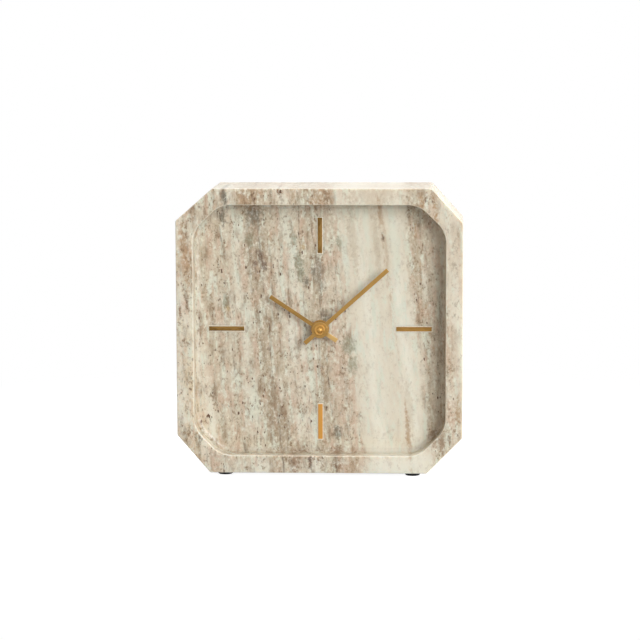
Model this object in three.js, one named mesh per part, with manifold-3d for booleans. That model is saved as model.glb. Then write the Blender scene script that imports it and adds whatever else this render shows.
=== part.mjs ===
// A square marble table clock: one block of stone with cut corners and a sunk dial, brass
// hour bars let into the dial, two brass hands, four rubber feet, and a battery quartz
// movement in a pocket at the back.
// Sizes are millimetres. +Z is up, the dial faces -Y and the feet stand on Z = 0.
import * as THREE from "three";
import { mergeVertices } from "three/addons/utils/BufferGeometryUtils.js";
import Module from "manifold-3d";

const wasm = await Module();
wasm.setup();

const TURN = 2 * Math.PI;
const radians = THREE.MathUtils.degToRad;
const point = (x, y) => new THREE.Vector2(x, y);

// The parts of the dial and the movement are drawn in dial space: x to the right, y up and
// z towards the viewer, from the middle of the dial's floor. Heights there are z values.

// Driving dimensions of the stone
const stone = {
  width: 150,
  height: 150,
  depth: 50,
  arris: 0.7, // width of the eased edges
  cornerRadius: 1.4, // rounding of the upright edges
  // width and height that each hand-cut corner takes off the square
  topLeftCut: [19.3, 17.0],
  topRightCut: [16.4, 17.9],
  bottomRightCut: [18.8, 19.0],
  bottomLeftCut: [17.3, 19.9],
};
const recess = {
  halfWidth: 66,
  depth: 10.5,
  cut: 14, // legs of its four cut corners
  cornerRadius: 13,
  coveRadius: 3, // hollow between the wall and the floor
  coveSteps: 4,
  rise: 0.3, // height of its centre above the block's centre
};
const pocket = { halfWidth: 34, cornerRadius: 8, floorThickness: 6 };
const steps = { stoneCorner: 2, recessCorner: 4, caseCorner: 3 }; // facets of rounded corners
const shaftHoleRadius = 3.9;
const foot = { radius: 4, height: 2, bevel: 0.4 };
const footPlaces = {
  front_left: [-50.4, -15.8],
  front_right: [48.8, -17.0],
  rear_left: [-50.0, 16.5],
  rear_right: [49.4, 16.5],
};

// Driving dimensions of the dial and the hands
const hourBar = { inner: 40.1, outer: 58.7, width: 2.3, thickness: 1.5, proud: 0.3 };
const bedding = { width: 0.45, clearance: 0.05 };
const minuteHandSize = {
  angle: 48.3, // degrees past twelve
  reach: 47.8,
  tail: 10.5,
  tipWidth: 2.25,
  hubWidth: 2.05,
  tailWidth: 2.3,
  boss: 4.25,
  bossFloor: 5.2,
  bossTop: 6.0,
  bladeFloor: 5.35,
  bladeTop: 5.85,
};
const hourHandSize = {
  angle: 303.7,
  reach: 31.4,
  tail: 10.7,
  tipWidth: 2.15,
  hubWidth: 2.0,
  tailWidth: 2.35,
  boss: 4.25,
  bossFloor: 2.5,
  bossTop: 4.1,
  bladeFloor: 3.2,
  bladeTop: 3.7,
};
const capNut = {
  radius: 2.9,
  floor: 6.05,
  shoulder: 7.3,
  chamfer: 0.4,
  roof: 0.4, // metal left above the bore
  domeRadius: 1.4,
  domeWaist: [1.05, 7.85], // a point halfway up the dome's curve
  top: 8.1,
};
const ringNut = { radius: 4.7, floor: 0.05, top: 1.45, chamfer: 0.3 };

// Driving dimensions of the movement, a common 56 mm square case
const movement = {
  halfWidth: 28,
  front: -6.5,
  back: -22.5,
  wall: 1.4,
  cornerRadius: 2.5,
  seam: -15.6, // where the cover meets the base
  chamberFloor: -10.4, // y of the gear chamber's lower wall
};
const battery = {
  radius: 7.25,
  length: 50.5,
  bevel: 0.6,
  capRadius: 2.7,
  capHeight: 1.3,
  flatEnd: -24.7, // x of its negative end
  y: -19.3,
  z: -15.05,
};
const bay = { halfLength: 26.8, low: -26.8, high: -11.8, floorThickness: 1.0 };
const running = 0.1; // radial clearance of a shaft in its hole
const contactGap = 0.05; // left between fixed pieces that touch
const overlap = 0.2; // how far a joined shape reaches into its neighbour
const past = 1; // how far a cutting tool reaches past what it cuts

// Shafts and what they turn in
const bush = { radius: 3.5, top: 2.0, flangeRadius: 5, flangeThickness: 0.75 };
const washerRadius = 9;
const hourPipe = { radius: 2.5, top: 4.3 };
const minuteArbor = {
  radius: 1.7,
  tailRadius: 1.2,
  neckRadius: 1.3,
  neckLength: 0.3,
  rearEnd: -14.5,
  pivotHoleDepth: 1.2,
};
const motionArbor = { radius: 0.5, rearEnd: -12.8, frontEnd: -7.7 };
const settingShaft = {
  radius: 1.2,
  rearEnd: -25.8,
  frontEnd: -7.7,
  tipRadius: 0.7,
  collarRadius: 1.8,
  collarHeight: 0.3,
};
const pivotRadius = 0.42;
const arborRadius = 0.45;
const pivotLength = { rear: 0.2, front: 0.9 }; // length of the thin ends of the train's arbors
const magnet = { radius: 2.5, airGap: 0.4 };

// Tooth counts and modules. Each pair shares one module.
const gears = {
  cannonPinion: { teeth: 12, module: 0.3 },
  motionWheel: { teeth: 36, module: 0.3 },
  settingPinion: { teeth: 18, module: 0.3 },
  motionPinion: { teeth: 10, module: 0.288 },
  hourWheel: { teeth: 40, module: 0.288 },
  rotorPinion: { teeth: 10, module: 0.2 },
  intermediateWheel: { teeth: 60, module: 0.2 },
  intermediatePinion: { teeth: 12, module: 0.25 },
  secondsWheel: { teeth: 60, module: 0.25 },
  secondsPinion: { teeth: 8, module: 0.25 },
  thirdWheel: { teeth: 60, module: 0.25 },
  thirdPinion: { teeth: 8, module: 17 / 72 },
  centreWheel: { teeth: 64, module: 17 / 72 },
};
// Tooth form, in modules outwards and inwards and in shares of the pitch across
const toothForm = { addendum: 0.85, dedendum: 1.15, rootShare: 0.58, tipShare: 0.2 };

// Directions in which the gear axes stand from each other, in degrees
const motionDirection = 45;
const settingDirection = 0;
const thirdDirection = 180;
const intermediateDirection = 100;
const rotorDirection = 60;

// Heights of the gear layers
const layers = {
  hourWheel: [-9.9, -9.0],
  motionPinion: [-10.0, -8.9],
  motionWheel: [-11.3, -10.4],
  cannonPinion: [-11.5, -10.3],
  settingPinion: [-11.4, -10.3],
  middlePlate: [-13.0, -12.0],
  centreWheel: [-14.1, -13.4],
  thirdPinion: [-14.4, -13.3],
  thirdWheel: [-15.5, -14.9],
  secondsPinion: [-15.8, -14.8],
  secondsWheel: [-16.8, -16.2],
  intermediatePinion: [-17.1, -16.1],
  intermediateWheel: [-18.0, -17.5],
  rotorPinion: [-18.3, -17.4],
  magnet: [-16.8, -14.6],
  stator: [-16.0, -15.2],
};
const frontPivotEnd = -12.2; // arbors of the train end here, in the middle plate
const secondsPivotEnd = -13.5; // and here, in the hole of the minute arbor
const rearPivotEnd = -20.2;
const bearingFace = -18.6; // the cover's bearing bosses reach in to here

// Shape helpers

// Facets that keep a circle of this radius smooth enough.
function facets(radius) {
  return 4 * Math.round(2 + 2.2 * Math.sqrt(radius));
}

// A closed outline from a convex polygon whose corners run anticlockwise. Each corner is
// rounded, and the whole outline is moved inwards by the inset.
function roundedOutline(corners, radius, inset = 0, steps = 6) {
  return corners.flatMap((corner, i) => {
    const before = corners[(i + corners.length - 1) % corners.length];
    const after = corners[(i + 1) % corners.length];
    const arriving = corner.clone().sub(before).normalize();
    const leaving = after.clone().sub(corner).normalize();
    const firstNormal = point(arriving.y, -arriving.x);
    const lastNormal = point(leaving.y, -leaving.x);
    const bisector = firstNormal.clone().add(lastNormal).normalize();
    const centre = corner.clone().addScaledVector(bisector, -radius / bisector.dot(firstNormal));
    const start = firstNormal.angle();
    const sweep = (lastNormal.angle() - start + TURN) % TURN;
    return Array.from({ length: steps + 1 }, (_, k) => {
      const angle = start + (sweep * k) / steps;
      const reach = radius - inset;
      return point(centre.x + reach * Math.cos(angle), centre.y + reach * Math.sin(angle));
    });
  });
}

// A closed solid through rings of equal point counts, from the lowest z to the highest.
function loft(rings) {
  const count = rings[0].outline.length;
  const positions = rings.flatMap(({ outline, z }) => outline.flatMap((p) => [p.x, p.y, z]));
  const index = [];
  for (let ring = 0; ring < rings.length - 1; ring++) {
    for (let i = 0; i < count; i++) {
      const a = ring * count + i;
      const b = ring * count + ((i + 1) % count);
      index.push(a, b, b + count, a, b + count, a + count);
    }
  }
  const top = (rings.length - 1) * count;
  for (const [a, b, c] of THREE.ShapeUtils.triangulateShape(rings[0].outline, [])) {
    index.push(a, c, b);
  }
  for (const [a, b, c] of THREE.ShapeUtils.triangulateShape(rings.at(-1).outline, [])) {
    index.push(top + a, top + b, top + c);
  }
  const geometry = new THREE.BufferGeometry();
  geometry.setAttribute("position", new THREE.Float32BufferAttribute(positions, 3));
  geometry.setIndex(index);
  return geometry;
}

// The corners of an upright rectangle, anticlockwise.
function rectangle(left, right, low, high) {
  return [point(left, low), point(right, low), point(right, high), point(left, high)];
}

// A flat plate of an outline between two heights.
function plate(outline, [floor, top], holes = []) {
  const shape = new THREE.Shape(outline);
  shape.holes = holes.map((hole) => new THREE.Path(hole));
  const geometry = new THREE.ExtrudeGeometry(shape, { depth: top - floor, bevelEnabled: false });
  return geometry.translate(0, 0, floor);
}

function block([left, right], [low, high], [floor, top]) {
  return plate(rectangle(left, right, low, high), [floor, top]);
}

// The points of a circle, anticlockwise.
function circle(radius, centre = point(0, 0)) {
  const count = facets(radius);
  return Array.from({ length: count }, (_, i) => {
    const angle = (TURN * i) / count;
    return point(centre.x + radius * Math.cos(angle), centre.y + radius * Math.sin(angle));
  });
}

function disc(radius, heights, centre = point(0, 0)) {
  return plate(circle(radius, centre), heights);
}

// A turned piece about the z axis. The profile is a list of [radius, height], and it runs
// anticlockwise round the section: out along the bottom, up the outside and in at the top.
function turned(profile) {
  const widest = Math.max(...profile.map(([radius]) => radius));
  const section = profile.map(([radius, height]) => point(radius, height));
  const onAxis = profile[0][0] === 0 && profile.at(-1)[0] === 0;
  if (!onAxis) section.push(section[0].clone());
  return new THREE.LatheGeometry(section, facets(widest)).rotateX(TURN / 4);
}

// A round bar with steps: each entry is [radius, height at which it ends].
function steppedBar(start, steps) {
  const profile = [[0, start]];
  let low = start;
  for (const [radius, end] of steps) {
    profile.push([radius, low], [radius, end]);
    low = end;
  }
  profile.push([0, low]);
  return turned(profile);
}

function tube(outer, inner, [floor, top]) {
  return turned([[inner, floor], [outer, floor], [outer, top], [inner, top]]);
}

// Joining and cutting

function toSolid(geometry) {
  const bare = geometry.clone();
  bare.deleteAttribute("normal");
  bare.deleteAttribute("uv");
  const merged = mergeVertices(bare, 1e-5);
  const triangles = [];
  for (let i = 0; i < merged.index.count; i += 3) {
    const [a, b, c] = merged.index.array.slice(i, i + 3);
    if (a !== b && b !== c && c !== a) triangles.push(a, b, c);
  }
  const vertProperties = new Float32Array(merged.attributes.position.array);
  const triVerts = new Uint32Array(triangles);
  return new wasm.Manifold(new wasm.Mesh({ numProp: 3, vertProperties, triVerts }));
}

function toGeometry(solid) {
  const { vertProperties, triVerts } = solid.getMesh();
  const geometry = new THREE.BufferGeometry();
  geometry.setAttribute("position", new THREE.BufferAttribute(vertProperties, 3));
  geometry.setIndex(new THREE.BufferAttribute(triVerts, 1));
  geometry.computeVertexNormals();
  return geometry;
}

function join(...pieces) {
  return toGeometry(pieces.map(toSolid).reduce((whole, piece) => whole.add(piece)));
}

function cut(piece, ...tools) {
  return toGeometry(tools.map(toSolid).reduce((rest, tool) => rest.subtract(tool), toSolid(piece)));
}

// The stone block

function blockCorners() {
  const side = stone.width / 2;
  const top = stone.height / 2 - recess.rise;
  const bottom = -stone.height / 2 - recess.rise;
  const [rightFoot, rightFootRise] = stone.bottomRightCut;
  const [rightHead, rightHeadDrop] = stone.topRightCut;
  const [leftHead, leftHeadDrop] = stone.topLeftCut;
  const [leftFoot, leftFootRise] = stone.bottomLeftCut;
  return [
    point(side - rightFoot, bottom),
    point(side, bottom + rightFootRise),
    point(side, top - rightHeadDrop),
    point(side - rightHead, top),
    point(-side + leftHead, top),
    point(-side, top - leftHeadDrop),
    point(-side, bottom + leftFootRise),
    point(-side + leftFoot, bottom),
  ];
}

function stoneBlank() {
  const front = recess.depth;
  const back = front - stone.depth;
  const corners = blockCorners();
  const ring = (z, inset) => ({
    outline: roundedOutline(corners, stone.cornerRadius, inset, steps.stoneCorner),
    z,
  });
  return loft([
    ring(back, stone.arris),
    ring(back + stone.arris, 0),
    ring(front - stone.arris, 0),
    ring(front, stone.arris),
  ]);
}

function recessCorners() {
  const half = recess.halfWidth;
  const inner = half - recess.cut;
  return [
    point(inner, -half),
    point(half, -inner),
    point(half, inner),
    point(inner, half),
    point(-inner, half),
    point(-half, inner),
    point(-half, -inner),
    point(-inner, -half),
  ];
}

// The room that the router clears: a cove at the floor, upright walls and an eased lip.
function recessTool() {
  const corners = recessCorners();
  const ring = (z, inset) => ({
    outline: roundedOutline(corners, recess.cornerRadius, inset, steps.recessCorner),
    z,
  });
  const cove = Array.from({ length: recess.coveSteps + 1 }, (_, k) => {
    const angle = (TURN / 4) * (k / recess.coveSteps);
    const radius = recess.coveRadius;
    return ring(radius * (1 - Math.cos(angle)), radius * (1 - Math.sin(angle)));
  });
  const lip = [
    ring(recess.depth - stone.arris, 0),
    ring(recess.depth + stone.arris, -2 * stone.arris),
  ];
  return loft([...cove, ...lip]);
}

function pocketTool() {
  const half = pocket.halfWidth;
  const outline = roundedOutline(rectangle(-half, half, -half, half), pocket.cornerRadius);
  const behindStone = recess.depth - stone.depth - past;
  return plate(outline, [behindStone, -pocket.floorThickness]);
}

// A rectangle along the spoke of one hour bar, wider all round by the margin.
function barOutline(margin) {
  const half = hourBar.width / 2 + margin;
  return rectangle(-half, half, hourBar.inner - margin, hourBar.outer + margin);
}

const slotMargin = bedding.width + bedding.clearance;

function marbleBody() {
  const slots = Array.from({ length: 4 }, (_, quarter) =>
    plate(barOutline(slotMargin), [-hourBar.thickness, past]).rotateZ((TURN / 4) * quarter),
  );
  const hole = disc(shaftHoleRadius, [-pocket.floorThickness - past, past]);
  return cut(stoneBlank(), recessTool(), pocketTool(), hole, ...slots);
}

function hourBarPiece() {
  const floor = -hourBar.thickness + contactGap;
  return plate(barOutline(0), [floor, hourBar.proud]);
}

function beddingPiece() {
  const outline = barOutline(bedding.width);
  const hole = barOutline(bedding.clearance);
  return plate(outline, [-hourBar.thickness + contactGap, 0], [hole]);
}

function rubberFoot() {
  const { radius, height, bevel } = foot;
  return turned([
    [0, 0],
    [radius - bevel, 0],
    [radius, bevel],
    [radius, height - contactGap],
    [0, height - contactGap],
  ]);
}

// The hands

// A baton that widens from the hub to its square tip, with a short tail.
function handPiece(hand, boreRadius) {
  const outline = [
    point(-hand.tailWidth / 2, -hand.tail),
    point(hand.tailWidth / 2, -hand.tail),
    point(hand.hubWidth / 2, 0),
    point(hand.tipWidth / 2, hand.reach),
    point(-hand.tipWidth / 2, hand.reach),
    point(-hand.hubWidth / 2, 0),
  ];
  const blade = plate(outline, [hand.bladeFloor, hand.bladeTop]);
  const boss = disc(hand.boss, [hand.bossFloor, hand.bossTop]);
  const bore = disc(boreRadius, [hand.bossFloor - past, hand.bossTop + past]);
  return cut(join(blade, boss), bore).rotateZ(-radians(hand.angle));
}

function capNutPiece() {
  const { radius, floor, shoulder, chamfer, roof, domeRadius, domeWaist, top } = capNut;
  const bore = minuteArbor.radius + running;
  const boreEnd = shoulder - roof;
  return turned([
    [0, boreEnd],
    [bore, boreEnd],
    [bore, floor],
    [radius, floor],
    [radius, shoulder - chamfer],
    [radius - chamfer, shoulder],
    [domeRadius, shoulder],
    domeWaist,
    [0, top],
  ]);
}

// The threaded bush and what clamps the movement to the stone

function threadedBush() {
  const flangeTop = movement.front - movement.wall - contactGap;
  const flangeFloor = flangeTop - bush.flangeThickness;
  const bore = hourPipe.radius + running;
  return turned([
    [bore, flangeFloor],
    [bush.flangeRadius, flangeFloor],
    [bush.flangeRadius, flangeTop],
    [bush.radius, flangeTop],
    [bush.radius, bush.top],
    [bore, bush.top],
  ]);
}

function ringNutPiece() {
  const { radius, floor, top, chamfer } = ringNut;
  return turned([
    [bush.radius + running, floor],
    [radius, floor],
    [radius, top - chamfer],
    [radius - chamfer, top],
    [bush.radius + running, top],
  ]);
}

function rubberWasher() {
  const heights = [movement.front + contactGap, -pocket.floorThickness - contactGap];
  return tube(washerRadius, bush.radius + running, heights);
}

// Gears

const pitchRadius = ({ teeth, module }) => (teeth * module) / 2;

// How far apart the axes of two gears stand.
const centreDistance = (one, other) => pitchRadius(one) + pitchRadius(other);

// A place at a distance and direction from another.
function offsetFrom(place, distance, direction) {
  const angle = radians(direction);
  return point(place.x + distance * Math.cos(angle), place.y + distance * Math.sin(angle));
}

// The angle of the follower's first tooth that puts it in mesh with the driver, given the
// driver's own first tooth and the direction from the driver's axis to the follower's.
function meshPhase(driver, driverPhase, follower, direction) {
  const line = radians(direction);
  const driverShare = ((driverPhase - line) * driver.teeth) / TURN;
  return line + TURN / 2 + ((0.5 - driverShare) * TURN) / follower.teeth;
}

function gearOutline({ teeth, module }, phase) {
  const pitch = TURN / teeth;
  const middle = (teeth * module) / 2;
  const root = middle - toothForm.dedendum * module;
  const tip = middle + toothForm.addendum * module;
  const rootHalf = (toothForm.rootShare * pitch) / 2;
  const tipHalf = (toothForm.tipShare * pitch) / 2;
  const corners = [[root, -rootHalf], [tip, -tipHalf], [tip, tipHalf], [root, rootHalf]];
  return Array.from({ length: teeth }, (_, tooth) => tooth).flatMap((tooth) =>
    corners.map(([radius, turn]) => {
      const angle = phase + tooth * pitch + turn;
      return point(radius * Math.cos(angle), radius * Math.sin(angle));
    }),
  );
}

function gearPiece(gear, phase, heights) {
  return plate(gearOutline(gear, phase), heights);
}

// Axes of the movement, in dial space
const { cannonPinion, motionWheel, settingPinion, motionPinion, hourWheel } = gears;
const { rotorPinion, intermediateWheel, intermediatePinion, secondsWheel } = gears;
const { secondsPinion, thirdWheel, thirdPinion, centreWheel } = gears;
const centreAxis = point(0, 0);
const motionAxis = offsetFrom(
  centreAxis,
  centreDistance(cannonPinion, motionWheel),
  motionDirection,
);
const settingAxis = offsetFrom(
  motionAxis,
  centreDistance(motionWheel, settingPinion),
  settingDirection,
);
const thirdAxis = offsetFrom(
  centreAxis,
  centreDistance(secondsPinion, thirdWheel),
  thirdDirection,
);
const intermediateAxis = offsetFrom(
  centreAxis,
  centreDistance(secondsWheel, intermediatePinion),
  intermediateDirection,
);
const rotorAxis = offsetFrom(
  intermediateAxis,
  centreDistance(intermediateWheel, rotorPinion),
  rotorDirection,
);

// Phases, from the cannon pinion out to the knob and from the seconds wheel out
const cannonPhase = radians(motionDirection);
const motionWheelPhase = meshPhase(cannonPinion, cannonPhase, motionWheel, motionDirection);
const settingPhase = meshPhase(motionWheel, motionWheelPhase, settingPinion, settingDirection);
const hourPhase = radians(motionDirection);
const motionPinionPhase = meshPhase(hourWheel, hourPhase, motionPinion, motionDirection);
const secondsPinionPhase = radians(thirdDirection);
const thirdWheelPhase = meshPhase(secondsPinion, secondsPinionPhase, thirdWheel, thirdDirection);
const centrePhase = radians(thirdDirection);
const thirdPinionPhase = meshPhase(centreWheel, centrePhase, thirdPinion, thirdDirection);
const secondsWheelPhase = radians(intermediateDirection);
const intermediatePinionPhase = meshPhase(
  secondsWheel,
  secondsWheelPhase,
  intermediatePinion,
  intermediateDirection,
);
const intermediateWheelPhase = radians(rotorDirection);
const rotorPinionPhase = meshPhase(
  intermediateWheel,
  intermediateWheelPhase,
  rotorPinion,
  rotorDirection,
);

function hourWheelPiece() {
  const [floor] = layers.hourWheel;
  const bore = disc(minuteArbor.radius + running, [floor - past, hourPipe.top + past]);
  const rim = gearPiece(hourWheel, hourPhase, layers.hourWheel);
  const pipe = disc(hourPipe.radius, [floor, hourPipe.top]);
  return cut(join(rim, pipe), bore);
}

function minuteArborPiece() {
  const { radius, tailRadius, neckRadius, neckLength, rearEnd, pivotHoleDepth } = minuteArbor;
  const [pinionFloor, pinionTop] = layers.cannonPinion;
  const bar = steppedBar(rearEnd, [
    [tailRadius, pinionFloor],
    [neckRadius, pinionTop + neckLength],
    [radius, capNut.shoulder - capNut.roof - running],
  ]);
  const pinion = gearPiece(cannonPinion, cannonPhase, layers.cannonPinion);
  const pivotHole = disc(pivotRadius + running, [rearEnd - past, rearEnd + pivotHoleDepth]);
  return cut(join(bar, pinion), pivotHole);
}

function motionWheelPiece() {
  const wheel = gearPiece(motionWheel, motionWheelPhase, layers.motionWheel);
  const pinion = gearPiece(motionPinion, motionPinionPhase, layers.motionPinion);
  const arbor = disc(motionArbor.radius, [motionArbor.rearEnd, motionArbor.frontEnd]);
  return join(wheel, pinion, arbor);
}

function settingShaftPiece() {
  const { radius, rearEnd, frontEnd, tipRadius, collarRadius, collarHeight } = settingShaft;
  const [floor, top] = layers.settingPinion;
  const pinion = gearPiece(settingPinion, settingPhase, layers.settingPinion);
  const shaft = steppedBar(rearEnd, [[radius, top], [tipRadius, frontEnd]]);
  const collar = disc(collarRadius, [floor - collarHeight, floor]);
  return join(shaft, collar, pinion);
}

// The going train's arbors run from the cover to the middle plate.
function trainArbor(frontEnd) {
  return steppedBar(rearPivotEnd, [
    [pivotRadius, bearingFace + pivotLength.rear],
    [arborRadius, frontEnd - pivotLength.front],
    [pivotRadius, frontEnd],
  ]);
}

function trainPiece(wheel, wheelPhase, wheelHeights, pinion, pinionPhase, pinionHeights, frontEnd) {
  return join(
    trainArbor(frontEnd),
    gearPiece(wheel, wheelPhase, wheelHeights),
    gearPiece(pinion, pinionPhase, pinionHeights),
  );
}

function centreWheelPiece() {
  const [floor, top] = layers.centreWheel;
  const rim = gearPiece(centreWheel, centrePhase, layers.centreWheel);
  return cut(rim, disc(minuteArbor.tailRadius + running, [floor - past, top + past]));
}

function rotorPiece() {
  return join(
    trainArbor(frontPivotEnd),
    disc(magnet.radius, layers.magnet),
    gearPiece(rotorPinion, rotorPinionPhase, layers.rotorPinion),
  );
}

// The knob's grip is a round with shallow finger grooves.
const knob = {
  radius: 6.5,
  floor: -27.6,
  top: -23.0,
  boreEnd: -26,
  grooves: 18,
  grooveDepth: 0.35,
};

function settingKnobPiece() {
  const points = Array.from({ length: 2 * knob.grooves }, (_, i) => {
    const radius = knob.radius - (i % 2) * knob.grooveDepth;
    const angle = (TURN * i) / (2 * knob.grooves);
    return point(radius * Math.cos(angle), radius * Math.sin(angle));
  });
  const bore = disc(settingShaft.radius + contactGap, [knob.boreEnd, knob.top + past]);
  return cut(plate(points, [knob.floor, knob.top]), bore);
}

// The movement's shells

// Posts on the base: x, y and the height at which each one meets what it carries
const postRadius = 1.5;
const posts = [
  [-18.5, -7.5, layers.middlePlate[1]],
  [18.5, -7.5, layers.middlePlate[1]],
  [-18.5, 15.5, layers.middlePlate[1]],
  [10, 15.5, layers.middlePlate[1]],
  [-18.3, 22, layers.stator[1]],
  [18.3, 22, layers.stator[1]],
];
const motionBoss = { radius: 1.2, end: -8.7 };
const settingBoss = { radius: 1.4, end: -8.9 };
const bossHole = [-10, -7.3];
// Slots in the bay's upper wall, through which the contacts reach the gear chamber
const contactSlot = { x: 26.3, halfWidth: 0.4, heights: [-15.5, -13.2] };
const shellOutline = (low) =>
  roundedOutline(
    rectangle(-movement.halfWidth, movement.halfWidth, low, movement.halfWidth),
    movement.cornerRadius,
    0,
    steps.caseCorner,
  );

function movementBase() {
  const { halfWidth, front, back, wall, seam, chamberFloor } = movement;
  const shell = plate(shellOutline(-halfWidth), [back, front]);
  const inner = halfWidth - wall;
  const plateBack = front - wall;
  const chamber = block([-inner, inner], [chamberFloor, inner], [back - past, plateBack]);
  const bayRoom = block(
    [-bay.halfLength, bay.halfLength],
    [bay.low, bay.high],
    [back - past, front - bay.floorThickness],
  );
  const aboveSeam = block(
    [-halfWidth - past, halfWidth + past],
    [chamberFloor - wall / 2, halfWidth + past],
    [back - past, seam + contactGap],
  );
  const slots = [-1, 1].map((side) => {
    const { x, halfWidth: half, heights } = contactSlot;
    const across = [side * x - half, side * x + half];
    return block(across, [bay.high - past, chamberFloor + past], heights);
  });
  const bushHole = disc(bush.radius + running, [plateBack - past, front + past]);
  const supports = posts.map(([x, y, end]) =>
    disc(postRadius, [end + contactGap, plateBack + overlap], point(x, y)),
  );
  const bosses = [
    disc(motionBoss.radius, [motionBoss.end, plateBack + overlap], motionAxis),
    disc(settingBoss.radius, [settingBoss.end, plateBack + overlap], settingAxis),
  ];
  const pivotHoles = [
    disc(motionArbor.radius + running, bossHole, motionAxis),
    disc(settingShaft.tipRadius + running, bossHole, settingAxis),
  ];
  const open = cut(shell, chamber, bayRoom, aboveSeam, ...slots, bushHole);
  return cut(join(open, ...supports, ...bosses), ...pivotHoles);
}

const cover = { overlap: 0.5, lowWall: 1.2, bearingRadius: 1.3, bearingDepth: 0.3 };

// The eye at the top by which such a movement can also be hung, and the hole through it
const hanger = { halfWidth: 7, low: 24, high: 33, cornerRadius: 4, steps: 4 };
const eye = { halfWidth: 4.5, low: 28.4, high: 31.4, cornerRadius: 1.4 };

function hangerPiece() {
  const { back, wall } = movement;
  const outline = roundedOutline(
    rectangle(-hanger.halfWidth, hanger.halfWidth, hanger.low, hanger.high),
    hanger.cornerRadius,
    0,
    hanger.steps,
  );
  const hole = roundedOutline(
    rectangle(-eye.halfWidth, eye.halfWidth, eye.low, eye.high),
    eye.cornerRadius,
    0,
    steps.caseCorner,
  );
  return plate(outline, [back, back + wall], [hole]);
}

function movementCover() {
  const { halfWidth, back, wall, seam, chamberFloor } = movement;
  const low = chamberFloor - cover.overlap;
  const shell = plate(shellOutline(low), [back, seam]);
  const inner = halfWidth - wall;
  const room = block([-inner, inner], [low + cover.lowWall, inner], [back + wall, seam + past]);
  const axes = [centreAxis, thirdAxis, intermediateAxis, rotorAxis];
  const bosses = axes.map((axis) =>
    disc(cover.bearingRadius, [back + wall - overlap, bearingFace], axis),
  );
  const bearings = axes.map((axis) =>
    disc(pivotRadius + running, [rearPivotEnd - cover.bearingDepth, bearingFace + past], axis),
  );
  const shaftHole = disc(settingShaft.radius + running, [back - past, seam + past], settingAxis);
  return cut(join(cut(shell, room), ...bosses, hangerPiece()), ...bearings, shaftHole);
}

// The plate that carries the train's front pivots, with two posts that carry the board
const deck = { left: -21, right: 21, low: -9.6, high: 18, cornerRadius: 2 };
const boardPosts = { x: 19.6, ys: [-6, 15], radius: 0.9, height: 0.45 };

function middlePlate() {
  const { left, right, low, high, cornerRadius } = deck;
  const corners = rectangle(left, right, low, high);
  const outline = roundedOutline(corners, cornerRadius, 0, steps.caseCorner);
  const pivots = [thirdAxis, intermediateAxis, rotorAxis];
  const holes = [
    circle(minuteArbor.tailRadius + running, centreAxis),
    circle(motionArbor.radius + running, motionAxis),
    circle(settingShaft.radius + running, settingAxis),
    ...pivots.map((axis) => circle(pivotRadius + running, axis)),
  ];
  const [floor] = layers.middlePlate;
  const postHeights = [floor - boardPosts.height, floor + overlap];
  const supports = boardPosts.ys.map((y) =>
    disc(boardPosts.radius, postHeights, point(boardPosts.x, y)),
  );
  return join(plate(outline, layers.middlePlate, holes), ...supports);
}

// The stepping motor

// The stator is a flat U. Its legs carry the coil's core, and its yoke surrounds the magnet.
const stator = {
  halfWidth: 21,
  legWidth: 6,
  legEnd: 24.4,
  yokeTop: 18.3,
  yokeEndLow: 13.5,
  yokeLow: 11.3,
  yokeFlat: [-4, 8], // where the yoke's lower edge runs level
};

function statorPiece() {
  const { halfWidth, legWidth, legEnd, yokeTop, yokeEndLow, yokeLow, yokeFlat } = stator;
  const inner = halfWidth - legWidth;
  const outline = [
    point(-halfWidth, yokeEndLow),
    point(yokeFlat[0], yokeLow),
    point(yokeFlat[1], yokeLow),
    point(halfWidth, yokeEndLow),
    point(halfWidth, legEnd),
    point(inner, legEnd),
    point(inner, yokeTop),
    point(-inner, yokeTop),
    point(-inner, legEnd),
    point(-halfWidth, legEnd),
  ];
  return plate(outline, layers.stator, [circle(magnet.radius + magnet.airGap, rotorAxis)]);
}

const coil = {
  y: 22,
  z: -16.6,
  halfLength: 13.5,
  flange: 3.2,
  flangeThickness: 0.9,
  winding: 3.0,
  sleeve: 1.9,
  core: [1.2, 0.5], // half width and half height of the core
};

// A bar along the coil's axis with a rectangular section.
function coilBar(halfLength, [halfWidth, halfHeight]) {
  const bar = block([-halfLength, halfLength], [-halfWidth, halfWidth], [-halfHeight, halfHeight]);
  return bar.translate(0, coil.y, coil.z);
}

function corePiece() {
  return coilBar(stator.halfWidth, coil.core);
}

// Turns a piece made along z so that it lies along x, at the coil's place.
function alongCoil(geometry) {
  return geometry.rotateY(TURN / 4).translate(0, coil.y, coil.z);
}

function bobbinPiece() {
  const { halfLength, flange, flangeThickness, sleeve } = coil;
  const end = halfLength - flangeThickness;
  const body = turned([
    [0, -halfLength],
    [flange, -halfLength],
    [flange, -end],
    [sleeve, -end],
    [sleeve, end],
    [flange, end],
    [flange, halfLength],
    [0, halfLength],
  ]);
  const roomSection = coil.core.map((half) => half + running);
  return cut(alongCoil(body), coilBar(halfLength + past, roomSection));
}

function windingPiece() {
  const half = coil.halfLength - coil.flangeThickness - running;
  return alongCoil(tube(coil.winding, coil.sleeve + contactGap, [-half, half]));
}

// The electronics

const board = { left: 17.5, right: 25.8, low: -9.3, high: 17.5, floor: -14.3, top: -13.5 };
const solder = 0.1; // gap under what stands on the board
const crystal = { radius: 1, halfLength: 3, x: 22, y: 8 };
const chip = { left: 20, right: 24, low: -3, high: 1, height: 1 };

function circuitBoard() {
  const { left, right, low, high, floor, top } = board;
  return block([left, right], [low, high], [floor, top]);
}

function quartzCrystal() {
  const { radius, halfLength, x, y } = crystal;
  const can = disc(radius, [-halfLength, halfLength]).rotateX(TURN / 4);
  return can.translate(x, y, board.floor - solder - radius);
}

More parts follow.
